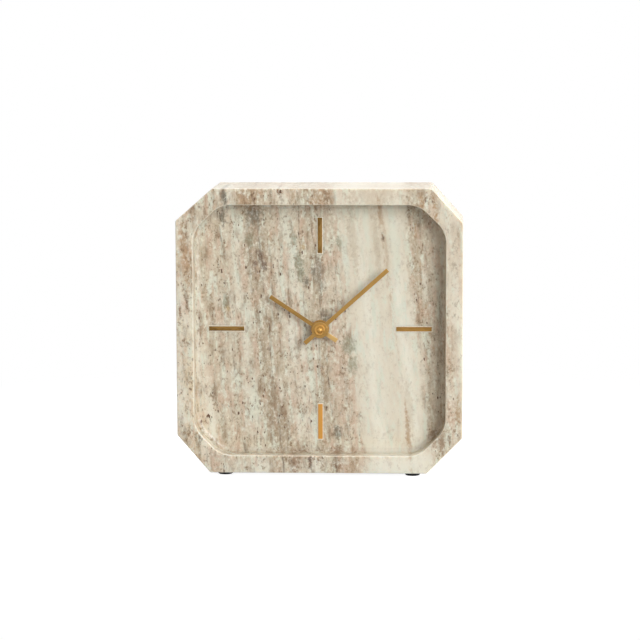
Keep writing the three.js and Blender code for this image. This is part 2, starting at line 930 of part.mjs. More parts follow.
function controlChip() {
  const { left, right, low, high, height } = chip;
  const top = board.floor - solder;
  return block([left, right], [low, high], [top - height, top]);
}

// The battery and its contacts

function batteryPiece() {
  const { radius, length, bevel, capRadius, capHeight } = battery;
  const bodyLength = length - capHeight;
  const cell = turned([
    [0, 0],
    [radius - bevel, 0],
    [radius, bevel],
    [radius, bodyLength - bevel],
    [radius - bevel, bodyLength],
    [capRadius, bodyLength],
    [capRadius, length],
    [0, length],
  ]);
  return cell.rotateY(TURN / 4).translate(battery.flatEnd, battery.y, battery.z);
}

const strip = { inner: 26.1, thickness: 0.4, heights: [-15.1, -13.6], top: -9.7, tabEnd: 20 };
const contactFace = { across: [-23, -15.5], heights: [-19, -11], lap: 0.5 };
// The spring's cone: radius at the plate, radius at its end and how far it stands out
const spring = { base: 2.6, end: 1.2, height: 1.1 };

// A plate at one end of the bay with a strip that rises into the gear chamber.
function contactPlate(side) {
  const inner = side * strip.inner;
  const outer = side * (strip.inner + strip.thickness);
  const thickness = [Math.min(inner, outer), Math.max(inner, outer)];
  const [, faceTop] = contactFace.across;
  const face = block(thickness, contactFace.across, contactFace.heights);
  const riser = block(thickness, [faceTop - contactFace.lap, strip.top], strip.heights);
  return { face, riser };
}

function positiveContact() {
  const { face, riser } = contactPlate(1);
  return join(face, riser);
}

// The spring's end has a cone towards the battery and a long tab along the chamber's wall.
function negativeContact() {
  const { base, end, height } = spring;
  const { face, riser } = contactPlate(-1);
  const cone = turned([[0, -overlap], [base, -overlap], [end, height], [0, height]])
    .rotateY(TURN / 4)
    .translate(-strip.inner, battery.y, battery.z);
  const across = [-strip.inner - strip.thickness, strip.tabEnd];
  const tab = block(across, [strip.top - strip.thickness, strip.top], strip.heights);
  return join(face, riser, cone, tab);
}

// Materials

function finish(color, roughness, metalness = 0) {
  return new THREE.MeshStandardMaterial({ color, roughness, metalness });
}

const marble = finish(0xcdc2af, 0.42);
const brushedBrass = finish(0xb08a3e, 0.32, 1);
const turnedBrass = finish(0xb58d45, 0.25, 1);
const paleResin = finish(0xe6ddc8, 0.5);
const blackRubber = finish(0x17171a, 0.85);
const casePlastic = finish(0x1f2022, 0.5);
const gearPlastic = finish(0xe9e6dc, 0.45);
const steel = finish(0x8f9296, 0.35, 1);
const copper = finish(0xa8542a, 0.4, 1);
const boardGreen = finish(0x1f5a35, 0.5);
const contactMetal = finish(0xc8cacd, 0.25, 1);
const batteryWrap = finish(0x3c4046, 0.35, 0.6);

// Assembly

const clock = new THREE.Group();
const dialSpace = new THREE.Group();
dialSpace.rotation.x = TURN / 4;
dialSpace.position.set(
  0,
  recess.depth - stone.depth / 2,
  foot.height + stone.height / 2 + recess.rise,
);
clock.add(dialSpace);

function add(name, geometry, material, place = centreAxis, group = dialSpace) {
  const mesh = new THREE.Mesh(geometry, material);
  mesh.name = name;
  mesh.position.set(place.x, place.y, 0);
  group.add(mesh);
  return mesh;
}

add("marble_body", marbleBody(), marble);
for (const [index, hour] of [12, 9, 6, 3].entries()) {
  const turn = (TURN / 4) * index;
  add(`hour_bar_${hour}`, hourBarPiece(), brushedBrass).rotation.z = turn;
  add(`bar_bedding_${hour}`, beddingPiece(), paleResin).rotation.z = turn;
}
for (const [name, [x, y]] of Object.entries(footPlaces)) {
  add(`foot_${name}`, rubberFoot(), blackRubber, point(x, y), clock);
}

add("hour_hand", handPiece(hourHandSize, hourPipe.radius + contactGap), brushedBrass);
add("minute_hand", handPiece(minuteHandSize, minuteArbor.radius + contactGap), brushedBrass);
add("minute_cap_nut", capNutPiece(), turnedBrass);
add("bush_ring_nut", ringNutPiece(), turnedBrass);
add("threaded_bush", threadedBush(), turnedBrass);
add("rubber_washer", rubberWasher(), blackRubber);

add("movement_base", movementBase(), casePlastic);
add("movement_cover", movementCover(), casePlastic);
add("middle_plate", middlePlate(), casePlastic);

add("hour_wheel", hourWheelPiece(), turnedBrass);
add("minute_arbor", minuteArborPiece(), turnedBrass);
add("motion_wheel", motionWheelPiece(), gearPlastic, motionAxis);
add("setting_shaft", settingShaftPiece(), gearPlastic, settingAxis);
add("setting_knob", settingKnobPiece(), casePlastic, settingAxis);
add("centre_wheel", centreWheelPiece(), gearPlastic);
add(
  "third_wheel",
  trainPiece(
    thirdWheel,
    thirdWheelPhase,
    layers.thirdWheel,
    thirdPinion,
    thirdPinionPhase,
    layers.thirdPinion,
    frontPivotEnd,
  ),
  gearPlastic,
  thirdAxis,
);
add(
  "seconds_wheel",
  trainPiece(
    secondsWheel,
    secondsWheelPhase,
    layers.secondsWheel,
    secondsPinion,
    secondsPinionPhase,
    layers.secondsPinion,
    secondsPivotEnd,
  ),
  gearPlastic,
);
add(
  "intermediate_wheel",
  trainPiece(
    intermediateWheel,
    intermediateWheelPhase,
    layers.intermediateWheel,
    intermediatePinion,
    intermediatePinionPhase,
    layers.intermediatePinion,
    frontPivotEnd,
  ),
  gearPlastic,
  intermediateAxis,
);
add("rotor", rotorPiece(), steel, rotorAxis);

add("stator", statorPiece(), steel);
add("coil_core", corePiece(), steel);
add("coil_bobbin", bobbinPiece(), gearPlastic);
add("coil_winding", windingPiece(), copper);
add("circuit_board", circuitBoard(), boardGreen);
add("quartz_crystal", quartzCrystal(), contactMetal);
add("control_chip", controlChip(), casePlastic);
add("battery", batteryPiece(), batteryWrap);
add("positive_contact", positiveContact(), contactMetal);
add("negative_contact", negativeContact(), contactMetal);

export default clock;
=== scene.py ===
# %% [markdown]
# # A marble table clock
# The real clock is one block of banded marble. Its four corners are sawn off, a shallow dial
# is routed into the front, and a pocket is milled into the back for a battery movement. This
# lesson builds every piece that shows with bmesh and gives each one a procedural finish.
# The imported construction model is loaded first. It fixes where everything is, so each piece
# made here is drawn in the clock's own frame and never has to be fitted.

# %% Load the construction model
from math import cos, radians, sin, tan

import bmesh
import bpy
from mathutils import Matrix, Vector


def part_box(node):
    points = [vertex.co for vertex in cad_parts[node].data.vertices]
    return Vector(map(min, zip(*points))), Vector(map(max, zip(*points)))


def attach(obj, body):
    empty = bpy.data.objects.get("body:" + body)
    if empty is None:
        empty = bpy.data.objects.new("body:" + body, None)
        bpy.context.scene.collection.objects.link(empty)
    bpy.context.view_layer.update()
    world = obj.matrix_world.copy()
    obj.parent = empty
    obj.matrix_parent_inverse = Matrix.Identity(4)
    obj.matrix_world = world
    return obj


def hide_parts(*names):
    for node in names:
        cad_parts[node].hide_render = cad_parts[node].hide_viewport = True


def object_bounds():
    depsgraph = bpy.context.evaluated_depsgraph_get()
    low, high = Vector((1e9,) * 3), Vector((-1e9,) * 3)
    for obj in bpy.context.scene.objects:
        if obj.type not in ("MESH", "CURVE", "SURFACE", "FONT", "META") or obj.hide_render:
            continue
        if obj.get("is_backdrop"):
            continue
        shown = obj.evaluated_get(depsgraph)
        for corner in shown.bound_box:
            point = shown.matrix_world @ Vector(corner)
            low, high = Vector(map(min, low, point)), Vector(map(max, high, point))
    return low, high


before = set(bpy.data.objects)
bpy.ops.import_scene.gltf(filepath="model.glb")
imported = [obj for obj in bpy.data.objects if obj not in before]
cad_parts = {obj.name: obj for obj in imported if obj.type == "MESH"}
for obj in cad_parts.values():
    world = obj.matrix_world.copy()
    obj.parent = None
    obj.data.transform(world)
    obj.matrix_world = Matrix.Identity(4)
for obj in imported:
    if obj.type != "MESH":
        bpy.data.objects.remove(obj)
model_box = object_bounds()

# %% [markdown]
# ## Dial space
# A clockmaker measures from the middle of the dial: x to the right, y up and z out towards
# the viewer, all in millimetres. The pieces below are drawn in that space, because numbers
# such as 48.3 degrees past twelve or 5.2 mm above the dial are easy to read there. One matrix
# then lays the finished mesh in the clock's frame, in metres.

# %% The dial's middle and the matrix into the clock's frame
MM = 0.001
ARRIS = 1.1  # width of the stone's eased edges
RECESS_DEPTH = 10.5
RECESS_RISE = 0.3  # the dial's middle stands this much above the block's

stone_low, stone_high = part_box("marble_body")
dial_middle = Vector(
    (
        (stone_low.x + stone_high.x) / 2,
        stone_low.y + RECESS_DEPTH * MM,
        (stone_low.z + stone_high.z) / 2 + RECESS_RISE * MM,
    )
)
from_dial = (
    Matrix.Translation(dial_middle) @ Matrix.Rotation(radians(90), 4, "X") @ Matrix.Scale(MM, 4)
)
to_dial = from_dial.inverted()


def dial_box(node):
    """Lowest and highest corner of a construction node, in dial space."""
    low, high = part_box(node)
    ends = [to_dial @ low, to_dial @ high]
    lowest = Vector([min(end[i] for end in ends) for i in range(3)])
    highest = Vector([max(end[i] for end in ends) for i in range(3)])
    return lowest, highest


print("middle of the dial, m:", tuple(round(v, 4) for v in dial_middle))

# %% [markdown]
# ## Camera
# The product photograph was taken with a long lens from just above the clock and slightly to
# its right. A lens of 140 mm on a 36 mm sensor keeps the square face nearly square, and a
# small vertical shift sets the clock below the middle of the frame, as a view camera would.

# %% Place the camera
CAMERA_DISTANCE = 1.3
CAMERA_AZIMUTH = radians(2.87)
CAMERA_ELEVATION = radians(7.20)
CAMERA_ROLL = radians(-0.15)
SENSOR_WIDTH = 36
FOCAL_LENGTH = 139.9
LENS_SHIFT = (0.00125, 0.0186)  # right and up, in sensor widths
VIEW_DEPTH = 20
camera_target = Vector((0, -0.025, 0.077))


def direction(azimuth, elevation):
    """Unit vector from the clock towards a place seen from its front."""
    return Vector(
        (
            sin(azimuth) * cos(elevation),
            -cos(azimuth) * cos(elevation),
            sin(elevation),
        )
    )


def aim(thing, target, distance, azimuth, elevation, roll=0):
    """Sets a camera or lamp at a distance from a target, looking at it."""
    back = direction(azimuth, elevation)
    place = target + back * distance
    facing = (-back).to_track_quat("-Z", "Y").to_matrix().to_4x4()
    thing.matrix_world = Matrix.Translation(place) @ facing @ Matrix.Rotation(roll, 4, "Z")


lens = bpy.data.cameras.new("product_camera")
lens.sensor_width = SENSOR_WIDTH
lens.lens = FOCAL_LENGTH
lens.shift_x, lens.shift_y = LENS_SHIFT
lens.clip_end = VIEW_DEPTH
camera = bpy.data.objects.new("product_camera", lens)
bpy.context.collection.objects.link(camera)
aim(camera, camera_target, CAMERA_DISTANCE, CAMERA_AZIMUTH, CAMERA_ELEVATION, CAMERA_ROLL)
bpy.context.scene.camera = camera
print("camera at, m:", tuple(round(v, 3) for v in camera.location))

# %% [markdown]
# ## Writing a finish
# A material is a graph of nodes. Placing them by hand hides the idea, so two small classes
# let a finish be written as sums. A Value wraps an output socket, and each Python operator
# on it adds one Math node. A Finish owns the material and adds any other node.

# %% Value, a socket that can be added and multiplied


class Value:
    """An output socket. Each operator adds one Math node and gives back its output."""

    def __init__(self, finish, socket):
        self.finish = finish
        self.socket = socket

    def math(self, operation, *inputs):
        return self.finish.node("ShaderNodeMath", {"operation": operation}, *inputs)

    def __add__(self, other):
        return self.math("ADD", self, other)

    def __radd__(self, other):
        return self.math("ADD", other, self)

    def __sub__(self, other):
        return self.math("SUBTRACT", self, other)

    def __rsub__(self, other):
        return self.math("SUBTRACT", other, self)

    def __mul__(self, other):
        return self.math("MULTIPLY", self, other)

    def __rmul__(self, other):
        return self.math("MULTIPLY", other, self)

    def __truediv__(self, other):
        return self.math("DIVIDE", self, other)

    def __pow__(self, other):
        return self.math("POWER", self, other)

    def __abs__(self):
        return self.math("ABSOLUTE", self)

    def output(self, index):
        """Another output of the node that this value comes from."""
        return Value(self.finish, self.socket.node.outputs[index])

    def greatest(self, other):
        return self.math("MAXIMUM", self, other)

    def least(self, other):
        return self.math("MINIMUM", self, other)

    def ping_pong(self, reach):
        return self.math("PINGPONG", self, reach)


# %% Finish, a material and the nodes it is made of
NOISE = "ShaderNodeTexNoise"
FOAM = "ShaderNodeTexVoronoi"  # its value is the distance to the cell's middle
ATTRIBUTE = "ShaderNodeAttribute"
VECTOR_MATH = "ShaderNodeVectorMath"
OBJECT_COORDINATES = 3  # an output of the Texture Coordinate node
FOAM_COLOR = 1  # an output of the Voronoi node: a random colour for each cell
ATTRIBUTE_FACTOR = 2  # an output of the Attribute node
VECTOR_LENGTH = 1  # an output of the Vector Math node
MIX_FACTOR, MIX_A, MIX_B, MIX_RESULT = 0, 6, 7, 2  # a Mix node's colour sockets


def linear(red, green, blue):
    """A colour as it looks on screen, 0 to 255, in the linear values that shaders use."""
    shares = [value / 255 for value in (red, green, blue)]
    curve = [s / 12.92 if s <= 0.04045 else ((s + 0.055) / 1.055) ** 2.4 for s in shares]
    return (*curve, 1)


class Finish:
    """A material. node() adds one node: settings first, then its inputs' values or links."""

    def __init__(self, name):
        self.material = bpy.data.materials.new(name)
        self.material.use_nodes = True
        self.tree = self.material.node_tree
        self.shader = self.tree.nodes["Principled BSDF"]

    def node(self, kind, settings, *inputs, output=0, named=None):
        made = self.tree.nodes.new(kind)
        for name, value in settings.items():
            if name == "stops":
                self.set_stops(made.color_ramp, value)
            else:
                setattr(made, name, value)
        for key, value in [*enumerate(inputs), *(named or {}).items()]:
            self.plug(made.inputs[key], value)
        return Value(self, made.outputs[output])

    def set_stops(self, ramp, stops):
        while len(ramp.elements) < len(stops):
            ramp.elements.new(1)
        for element, (position, color) in zip(ramp.elements, stops):
            element.position = position
            element.color = color

    def plug(self, socket, value):
        if isinstance(value, Value):
            self.tree.links.new(value.socket, socket)
        elif value is not None:
            socket.default_value = value

    def set(self, sockets):
        """Sets or links the shader's own sockets, by name."""
        for name, value in sockets.items():
            self.plug(self.shader.inputs[name], value)
        return self.material

    def cover(self, color, rough, texture, metal=0.0):
        """Sets what each finish of the clock needs, and gives back the material."""
        sockets = {"Base Color": color, "Roughness": rough, "Normal": texture, "Metallic": metal}
        return self.set(sockets)

    def place(self, size=(1, 1, 1), lean=0.0, middle=dial_middle):
        """Object coordinates from a middle, counted in features of a size in millimetres."""
        here = self.node("ShaderNodeTexCoord", {}, output=OBJECT_COORDINATES)
        sockets = {"Location": middle, "Rotation": (0, lean, 0), "Scale": Vector(size) * MM}
        return self.node("ShaderNodeMapping", {"vector_type": "TEXTURE"}, here, named=sockets)

    def noise(self, place, detail=2.0, roughness=0.5):
        """Smooth noise from 0 to 1 with about one feature in each unit of the place."""
        sockets = {"Scale": 1.0, "Detail": detail, "Roughness": roughness}
        return self.node(NOISE, {}, place, named=sockets)

    def rise(self, value, start, end):
        """0 below start, 1 above end and smooth between. start may be above end."""
        settings = {"interpolation_type": "SMOOTHSTEP"}
        if start < end:
            return self.node("ShaderNodeMapRange", settings, value, start, end, 0.0, 1.0)
        return self.node("ShaderNodeMapRange", settings, value, end, start, 1.0, 0.0)

    def mix(self, factor, a, b):
        """Colour a where the factor is 0, colour b where it is 1."""
        sockets = {MIX_FACTOR: factor, MIX_A: a, MIX_B: b}
        return self.node("ShaderNodeMix", {"data_type": "RGBA"}, named=sockets, output=MIX_RESULT)

    def ramp(self, value, stops):
        return self.node("ShaderNodeValToRGB", {"stops": stops}, value)

    def split(self, vector):
        xyz = self.node("ShaderNodeSeparateXYZ", {}, vector)
        outputs = xyz.socket.node.outputs
        return [Value(self, outputs[i]) for i in range(3)]

    def length(self, vector):
        return self.node(VECTOR_MATH, {"operation": "LENGTH"}, vector, output=VECTOR_LENGTH)

    def attribute(self, name):
        """A number that the mesh carries on its points."""
        return self.node(ATTRIBUTE, {"attribute_name": name}, output=ATTRIBUTE_FACTOR)

    def bump(self, height, strength, distance):
        """A normal for the shader. distance is the height of a full step, in metres."""
        sockets = {"Strength": strength, "Distance": distance, "Height": height}
        return self.node("ShaderNodeBump", {}, named=sockets)


print("finishes can be written as expressions now")

# %% [markdown]
# ## The marble
# This stone is a vein-cut marble: its beds stand upright and lean a few degrees, so the face
# shows bands from cream to brown. Everything is worked out in millimetres through the whole
# block, as in the quarry, so a band on the front goes on over the edge and down the sides.
# The layers are: the beds, streaks along them, clouds and grey-green inclusions that are listed
# one by one, the mottled grain of the crystals and thin veins. A few pale patches on the left and
# bottom rims are painted light, and a buff one on the upper dial is painted shade. Brown mineral
# specks come last: each lies in a cell of a random foam, and they gather in the darker beds. Two
# attributes that the block's mesh carries tell where its front edges are painted paler, partly as
# bruised stone and partly as painted highlight, and where the cove round the dial's floor gets
# painted shade.

# %% The beds: how far each lies from the dial's middle, and its colour
BONE = linear(230, 226, 210)
CREAM = linear(221, 213, 194)
SAND = linear(211, 199, 178)
BUFF = linear(200, 188, 165)
TAUPE = linear(189, 175, 151)
UMBER = linear(138, 114, 87)
ROSE = linear(203, 177, 153)
HONEY = linear(214, 197, 166)
MINT = linear(216, 218, 201)
SAGE = linear(146, 147, 124)
SLATE = linear(116, 109, 94)
OCHRE = linear(190, 162, 112)
RUST = linear(170, 133, 92)
BARK = linear(96, 68, 49)
CHESTNUT = linear(128, 93, 62)
PALE_BARK = linear(130, 96, 70)

beds = [
    (-78, SAND),
    (-72, HONEY),
    (-65, CREAM),
    (-58, BUFF),
    (-53, SAND),
    (-47, BUFF),
    (-40, CREAM),
    (-35, BUFF),
    (-29, TAUPE),
    (-22, BUFF),
    (-16, SAND),
    (-10, CREAM),
    (-5, BUFF),
    (1, TAUPE),
    (8, SAND),
    (13, SAND),
    (19, CREAM),
    (26, BONE),
    (33, CREAM),
    (38, CREAM),
    (44, BONE),
    (50, CREAM),
    (54, TAUPE),
    (60, BUFF),
    (64, SAND),
    (72, CREAM),
    (79, SAND),
]
BEDS_REACH = 90.0
BED_LEAN = radians(-6)
STREAK_LEAN = radians(-3)


def bedded(marble):
    """How far a point lies across the beds in millimetres, and the colour of its bed."""
    across = marble.split(marble.place(lean=BED_LEAN))[0]
    sway = marble.noise(marble.place((30, 30, 60), BED_LEAN)) - 0.5
    ragged = marble.noise(marble.place((4, 6, 9), BED_LEAN), detail=5.0, roughness=0.7) - 0.5
    bent = across + 8.0 * sway + 10.0 * ragged
    stops = [((at + BEDS_REACH) / (2 * BEDS_REACH), color) for at, color in beds]
    return bent, marble.ramp(bent / (2 * BEDS_REACH) + 0.5, stops)


# %% Streaks along the beds


def streaked(marble, stone, dusky, grain):
    """Adds rosy, pale and dark streaks that break up into the grain of the crystals."""
    rosy = marble.noise(marble.place((4.5, 6, 14), STREAK_LEAN), detail=2.0) + 0.4 * grain
    pale = marble.noise(marble.place((3.4, 5, 17), STREAK_LEAN), detail=3.0) + 0.5 * grain
    dark = marble.noise(marble.place((2.8, 4, 12), STREAK_LEAN), detail=3.0) + 0.6 * grain
    stone = marble.mix(marble.rise(rosy, 0.47, 0.64) * (0.12 + 0.6 * dusky), stone, ROSE)
    stone = marble.mix(marble.rise(pale, 0.5, 0.66) * 0.88, stone, MINT)
    return marble.mix(marble.rise(dark, 0.52, 0.74) * (0.1 + 0.75 * dusky), stone, UMBER)


# %% The mottled grain of the crystals


def mottled(marble, stone, dusky, grain):
    """Darkens and lightens the stone by rough noise at two scales, and tints it slightly."""
    coarse = marble.noise(marble.place((5, 5, 9), STREAK_LEAN), detail=4.0, roughness=0.8) - 0.5
    tint = marble.noise(marble.place((2.2, 2.2, 3.2)), detail=3.0, roughness=0.7)
    depth = 0.3 + 0.7 * dusky
    tone = 1.8 * coarse + 1.9 * grain
    stone = marble.mix(marble.rise(tint, 0.5, 0.72) * 0.4 * depth, stone, ROSE)
    stone = marble.mix(marble.rise(tint, 0.5, 0.26) * 0.5 * depth, stone, MINT)
    stone = marble.mix(marble.rise(tone, 0.0, -0.57) * depth, stone, UMBER)
    return marble.mix(marble.rise(tone, 0.0, 0.54) * 0.85 * depth, stone, BONE)


# %% Clouds and inclusions, listed one by one, and patches of painted light and shade
patches = [
    # across and up from the dial's middle, half width and half height, depth, colour
    # painted light on the left rim
    (-74, 14, 4.5, 30, 0.6, BONE),
    # painted light on the bottom rim
    (-25, -72, 34, 5.0, 0.35, BONE),
    (62, -30, 4.0, 26, 0.55, CREAM),
    (-22.5, -48, 7, 19, 0.42, UMBER),
    (-33, 42, 7, 22, 0.3, UMBER),
    (11, -22, 6, 30, 0.5, ROSE),
    (-5.5, -14, 1.8, 38, 0.7, MINT),
    (-34.5, -39, 2.0, 23, 0.7, MINT),
    (-15, -5, 3.0, 16, 0.6, BONE),
    (-17.5, 51, 3.6, 13, 0.6, MINT),
    (-42.5, 54, 1.8, 9, 0.7, MINT),
    (-59, -36, 3.0, 26, 0.4, BONE),
    (-9.5, -66, 7, 9, 0.35, UMBER),
    (3, 52, 6, 11, 0.5, TAUPE),
    (-20.5, 50, 1.5, 10, 0.35, UMBER),
    (-15, 31, 2.0, 10, 0.7, MINT),
    (-30, 31, 1.3, 9, 0.5, BONE),
    (-22, 20, 1.5, 17, 0.55, BONE),
    (-34.5, 29, 1.8, 9, 0.35, UMBER),
    (-57, 9, 1.7, 11, 0.4, UMBER),
    (-47, 11, 1.5, 10, 0.5, BONE),
    (-38, 8, 1.8, 12, 0.6, MINT),
    (-33, 9, 1.5, 9, 0.35, UMBER),
    (14.5, 9, 1.5, 10, 0.5, MINT),
    (-52, -12, 1.6, 11, 0.35, UMBER),
    (-30, -11, 1.5, 11, 0.4, UMBER),
    (-12, -11, 1.8, 9, 0.35, UMBER),
    (-25.5, -32, 1.8, 11, 0.4, UMBER),
    (-21, -32, 1.4, 9, 0.6, BONE),
    (2, -32, 2.0, 12, 0.4, UMBER),
    (14, -32, 1.6, 10, 0.35, UMBER),
    (21.5, -33, 2.4, 11, 0.6, CREAM),
    (-57, -52, 1.9, 10, 0.6, BONE),
    (-51, -52, 1.6, 9, 0.35, UMBER),
    (-17.5, -52, 1.8, 9, 0.4, UMBER),
    (-11.5, -52, 1.5, 9, 0.6, BONE),
    (-3, -52, 1.9, 11, 0.8, MINT),
    (55, 26, 1.8, 14, 0.75, CREAM),
    (54.7, -22, 1.8, 16, 0.65, CREAM),
    (47, -40, 2.0, 16, 0.5, BUFF),
    (-10.5, 33, 2.6, 8.5, 0.9, SAGE),
    (-4.2, 30.5, 2.0, 3.4, 0.7, SLATE),
    (-7.3, 25, 2.0, 2.6, 0.85, SLATE),
    (-13.5, 47, 2.0, 3.2, 0.7, SAGE),
    (-8.9, 43.5, 2.0, 1.6, 0.6, OCHRE),
    (10.2, 45.5, 2.0, 3.6, 0.7, SAGE),
    (15, -9, 4.0, 5.5, 0.75, SAGE),
    (17.2, -19, 2.8, 5.5, 0.7, SAGE),
    (-50, 14, 2.0, 4.0, 0.75, SAGE),
    (-48.8, 10.5, 1.6, 1.8, 0.7, OCHRE),
    (9.2, -55, 2.6, 4.0, 0.85, SLATE),
    (-37, 47, 3.0, 4.0, 0.7, SAGE),
    (-51.5, 59, 1.8, 5.0, 0.85, SLATE),
    (-49.4, 71, 1.7, 6.5, 1.0, SLATE),
    (-35, 59.5, 5.0, 7.0, 0.75, SLATE),
    (2, 7.5, 2.6, 3.2, 0.8, SLATE),
    (-0.5, 29, 2.8, 12, 0.6, SLATE),
    (-31.5, 38.5, 2.2, 3.5, 0.75, BARK),
    (-29.5, 33.5, 1.8, 3.0, 0.75, BARK),
    (-34, 34.5, 1.2, 2.2, 0.7, BARK),
    (-37, 70, 8.5, 7.0, 0.5, RUST),
    (-14, 71, 3.0, 7.0, 0.45, RUST),
    (1.5, 71, 6.5, 7.0, 0.6, RUST),
    (3.5, 70, 2.2, 5.0, 0.45, CHESTNUT),
    (29, 71, 20, 6.0, 1.0, SAND),
    # painted shade on the upper right of the dial, under the top edge
    (30, 48, 20, 26, 0.3, BUFF),
    (17, 50, 2.6, 24, 0.45, TAUPE),
    (29.5, 46, 1.8, 20, 0.45, TAUPE),
    (34.5, 44, 1.0, 18, 0.3, RUST),
    (24, 56, 1.8, 15, 0.6, MINT),
    (13.5, 36, 1.8, 14, 0.7, MINT),
    (39, 44, 2.6, 26, 0.55, MINT),
    (-21, 73, 1.0, 3.0, 0.9, CHESTNUT),
    (-19.5, 69, 1.0, 2.6, 0.7, CHESTNUT),
    (53.5, 66, 1.4, 9.0, 0.75, RUST),
    (60.5, 63, 1.8, 10, 0.75, RUST),
    (33, 49, 0.9, 2.6, 0.8, BARK),
    (31.5, 62, 1.4, 9.0, 0.5, RUST),
    (46.5, -56, 1.4, 14, 0.6, RUST),
    (-73, 10, 1.1, 4.5, 0.9, CHESTNUT),
    (-69.3, 15.5, 1.1, 6.0, 0.9, CHESTNUT),
    (-69.5, 38, 2.2, 20, 0.5, RUST),
    (-71, 40, 5.0, 18, 0.35, RUST),
    # painted light on the left rim
    (-73, -34, 5.0, 26, 0.65, BONE),
    (70, 38, 6.0, 20, 0.7, SAND),
    (74, 0, 2.5, 40, 0.5, BONE),
    (69, -10, 3.5, 24, 0.25, RUST),
    (72.5, -42, 1.6, 9.0, 0.7, RUST),
    (68, -57, 1.2, 4.0, 0.8, CHESTNUT),
    (62, -58, 5.0, 6.0, 0.6, UMBER),
    (-30, -71, 3.5, 6.0, 0.6, BONE),
    (-22, -71, 3.5, 7.0, 0.35, RUST),
    (-14, -70, 3.0, 7.0, 0.65, CHESTNUT),
    (-1, -71, 4.0, 6.0, 0.6, BONE),
    (-5, -70, 1.0, 3.4, 0.85, BARK),
    (9, -69, 3.0, 7.0, 0.7, CHESTNUT),
    (18, -70, 5.0, 7.0, 0.45, RUST),
    # painted light on the bottom rim
    (42, -71, 20, 6.0, 0.8, BONE),
    (-63, -57, 1.2, 2.6, 0.8, SLATE),
]
PATCH_REACH = 32.0  # half the depth of a cloud, which lies near the dial's floor
upright_beds = Matrix.Rotation(-BED_LEAN, 3, "Y")


def with_patches(marble, stone, grain):
    """Lays the clouds and the patches of painted light and shade over the stone, and tells
    where the dark clouds make it gritty.
    """
    bed = marble.place(lean=BED_LEAN)  # shared, since each place takes room in the renderer
    edge = marble.noise(marble.place((2, 2, 3)), detail=5.0, roughness=0.7) - 0.5
    ragged = 2.4 * edge + 1.4 * grain
    gritty = 0.0
    for x, z, half_width, half_height, depth, color in patches:
        shrink = Vector((1 / half_width, 1 / PATCH_REACH, 1 / half_height))
        shift = upright_beds @ Vector((-x, 0, -z)) * shrink
        near = marble.node(VECTOR_MATH, {"operation": "MULTIPLY_ADD"}, bed, shrink, shift)
        mask = marble.rise(marble.length(near) + ragged, 1.25, 0.35) * depth
        stone = marble.mix(mask, stone, color)
        if color is UMBER:
            gritty = mask + gritty
    return stone, gritty


# %% Thin brown veins that wander along the beds
veins = [
    # across the beds, width, how far it wanders, extra lean, depth, colour
    (38.6, 1.6, 3.0, radians(-1.5), 0.45, RUST),
    (-27, 0.8, 5.0, 0, 0.7, BARK),
    (-47, 0.7, 4.0, 0, 0.6, BARK),
    (57, 1.2, 4.0, radians(-2), 0.7, RUST),
    (1.5, 0.8, 4.0, 0, 0.7, BARK),
    (-8, 0.6, 4.0, radians(3), 0.6, BARK),
]


def with_veins(marble, stone):
    broken = marble.noise(marble.place((2, 3, 6), BED_LEAN), detail=4.0, roughness=0.7)
    for place, width, wander, extra, depth, color in veins:
        lean = BED_LEAN + extra
        across = marble.split(marble.place(lean=lean))[0]
        wave = marble.noise(marble.place((60, 9, 14), lean), detail=4.0) - 0.5
        off = abs(across - place + wander * wave)
        mask = marble.rise(off, width, 0.1 * width) * marble.rise(broken, 0.45, 0.65) * depth
        stone = marble.mix(mask, stone, color)
    return stone


# %% Mineral specks


def with_specks(marble, stone, size, crowd, rarity, ink):
    """Compact upright grains, one in each lucky cell of a random foam. Crowding brings luck."""
    ragged = marble.noise(marble.place((0.9, 0.9, 1.4)), detail=2.0, roughness=0.7) - 0.5
    foam = marble.node(FOAM, {}, marble.place(size, STREAK_LEAN), named={"Scale": 1.0})
    luck, strength = marble.split(foam.output(FOAM_COLOR))[:2]
    radius = 1.4 * (luck - rarity + 0.2 * crowd)
    mask = marble.rise(radius.least(0.42) - foam - 0.7 * ragged, 0.0, 0.14)
    return marble.mix(mask * (0.4 + 0.6 * strength), stone, ink)


# %% The marble's finish
CREAM_START = 20.0  # between these two the beds are nearly free of dark grain
CREAM_END = 49.0
RIGHT_EDGE = 70.0  # past this one they are only a little dusky

# light that enters the stone comes out up to a few millimetres away, red light farthest
scattering = {
    "Subsurface Weight": 0.5,
    "Subsurface Radius": (1.0, 0.8, 0.6),
    "Subsurface Scale": 0.0035,
}
speck_sizes = [
    # size of a cell in millimetres, and the luck that a cell needs to hold a speck
    ((1.2, 1.2, 2.3), 0.77),
    ((2.0, 2.0, 4.0), 0.87),
]


def dusky_beds(marble, bent):
    """1 where the beds are full of dark grain, 0 in the cream ones."""
    left = marble.rise(bent, CREAM_START, CREAM_START - 8.0)
    right = marble.rise(bent, CREAM_END, CREAM_END + 4.0)
    fading = 0.35 + 0.65 * marble.rise(bent, RIGHT_EDGE, RIGHT_EDGE - 6.0)
    return left + right * fading


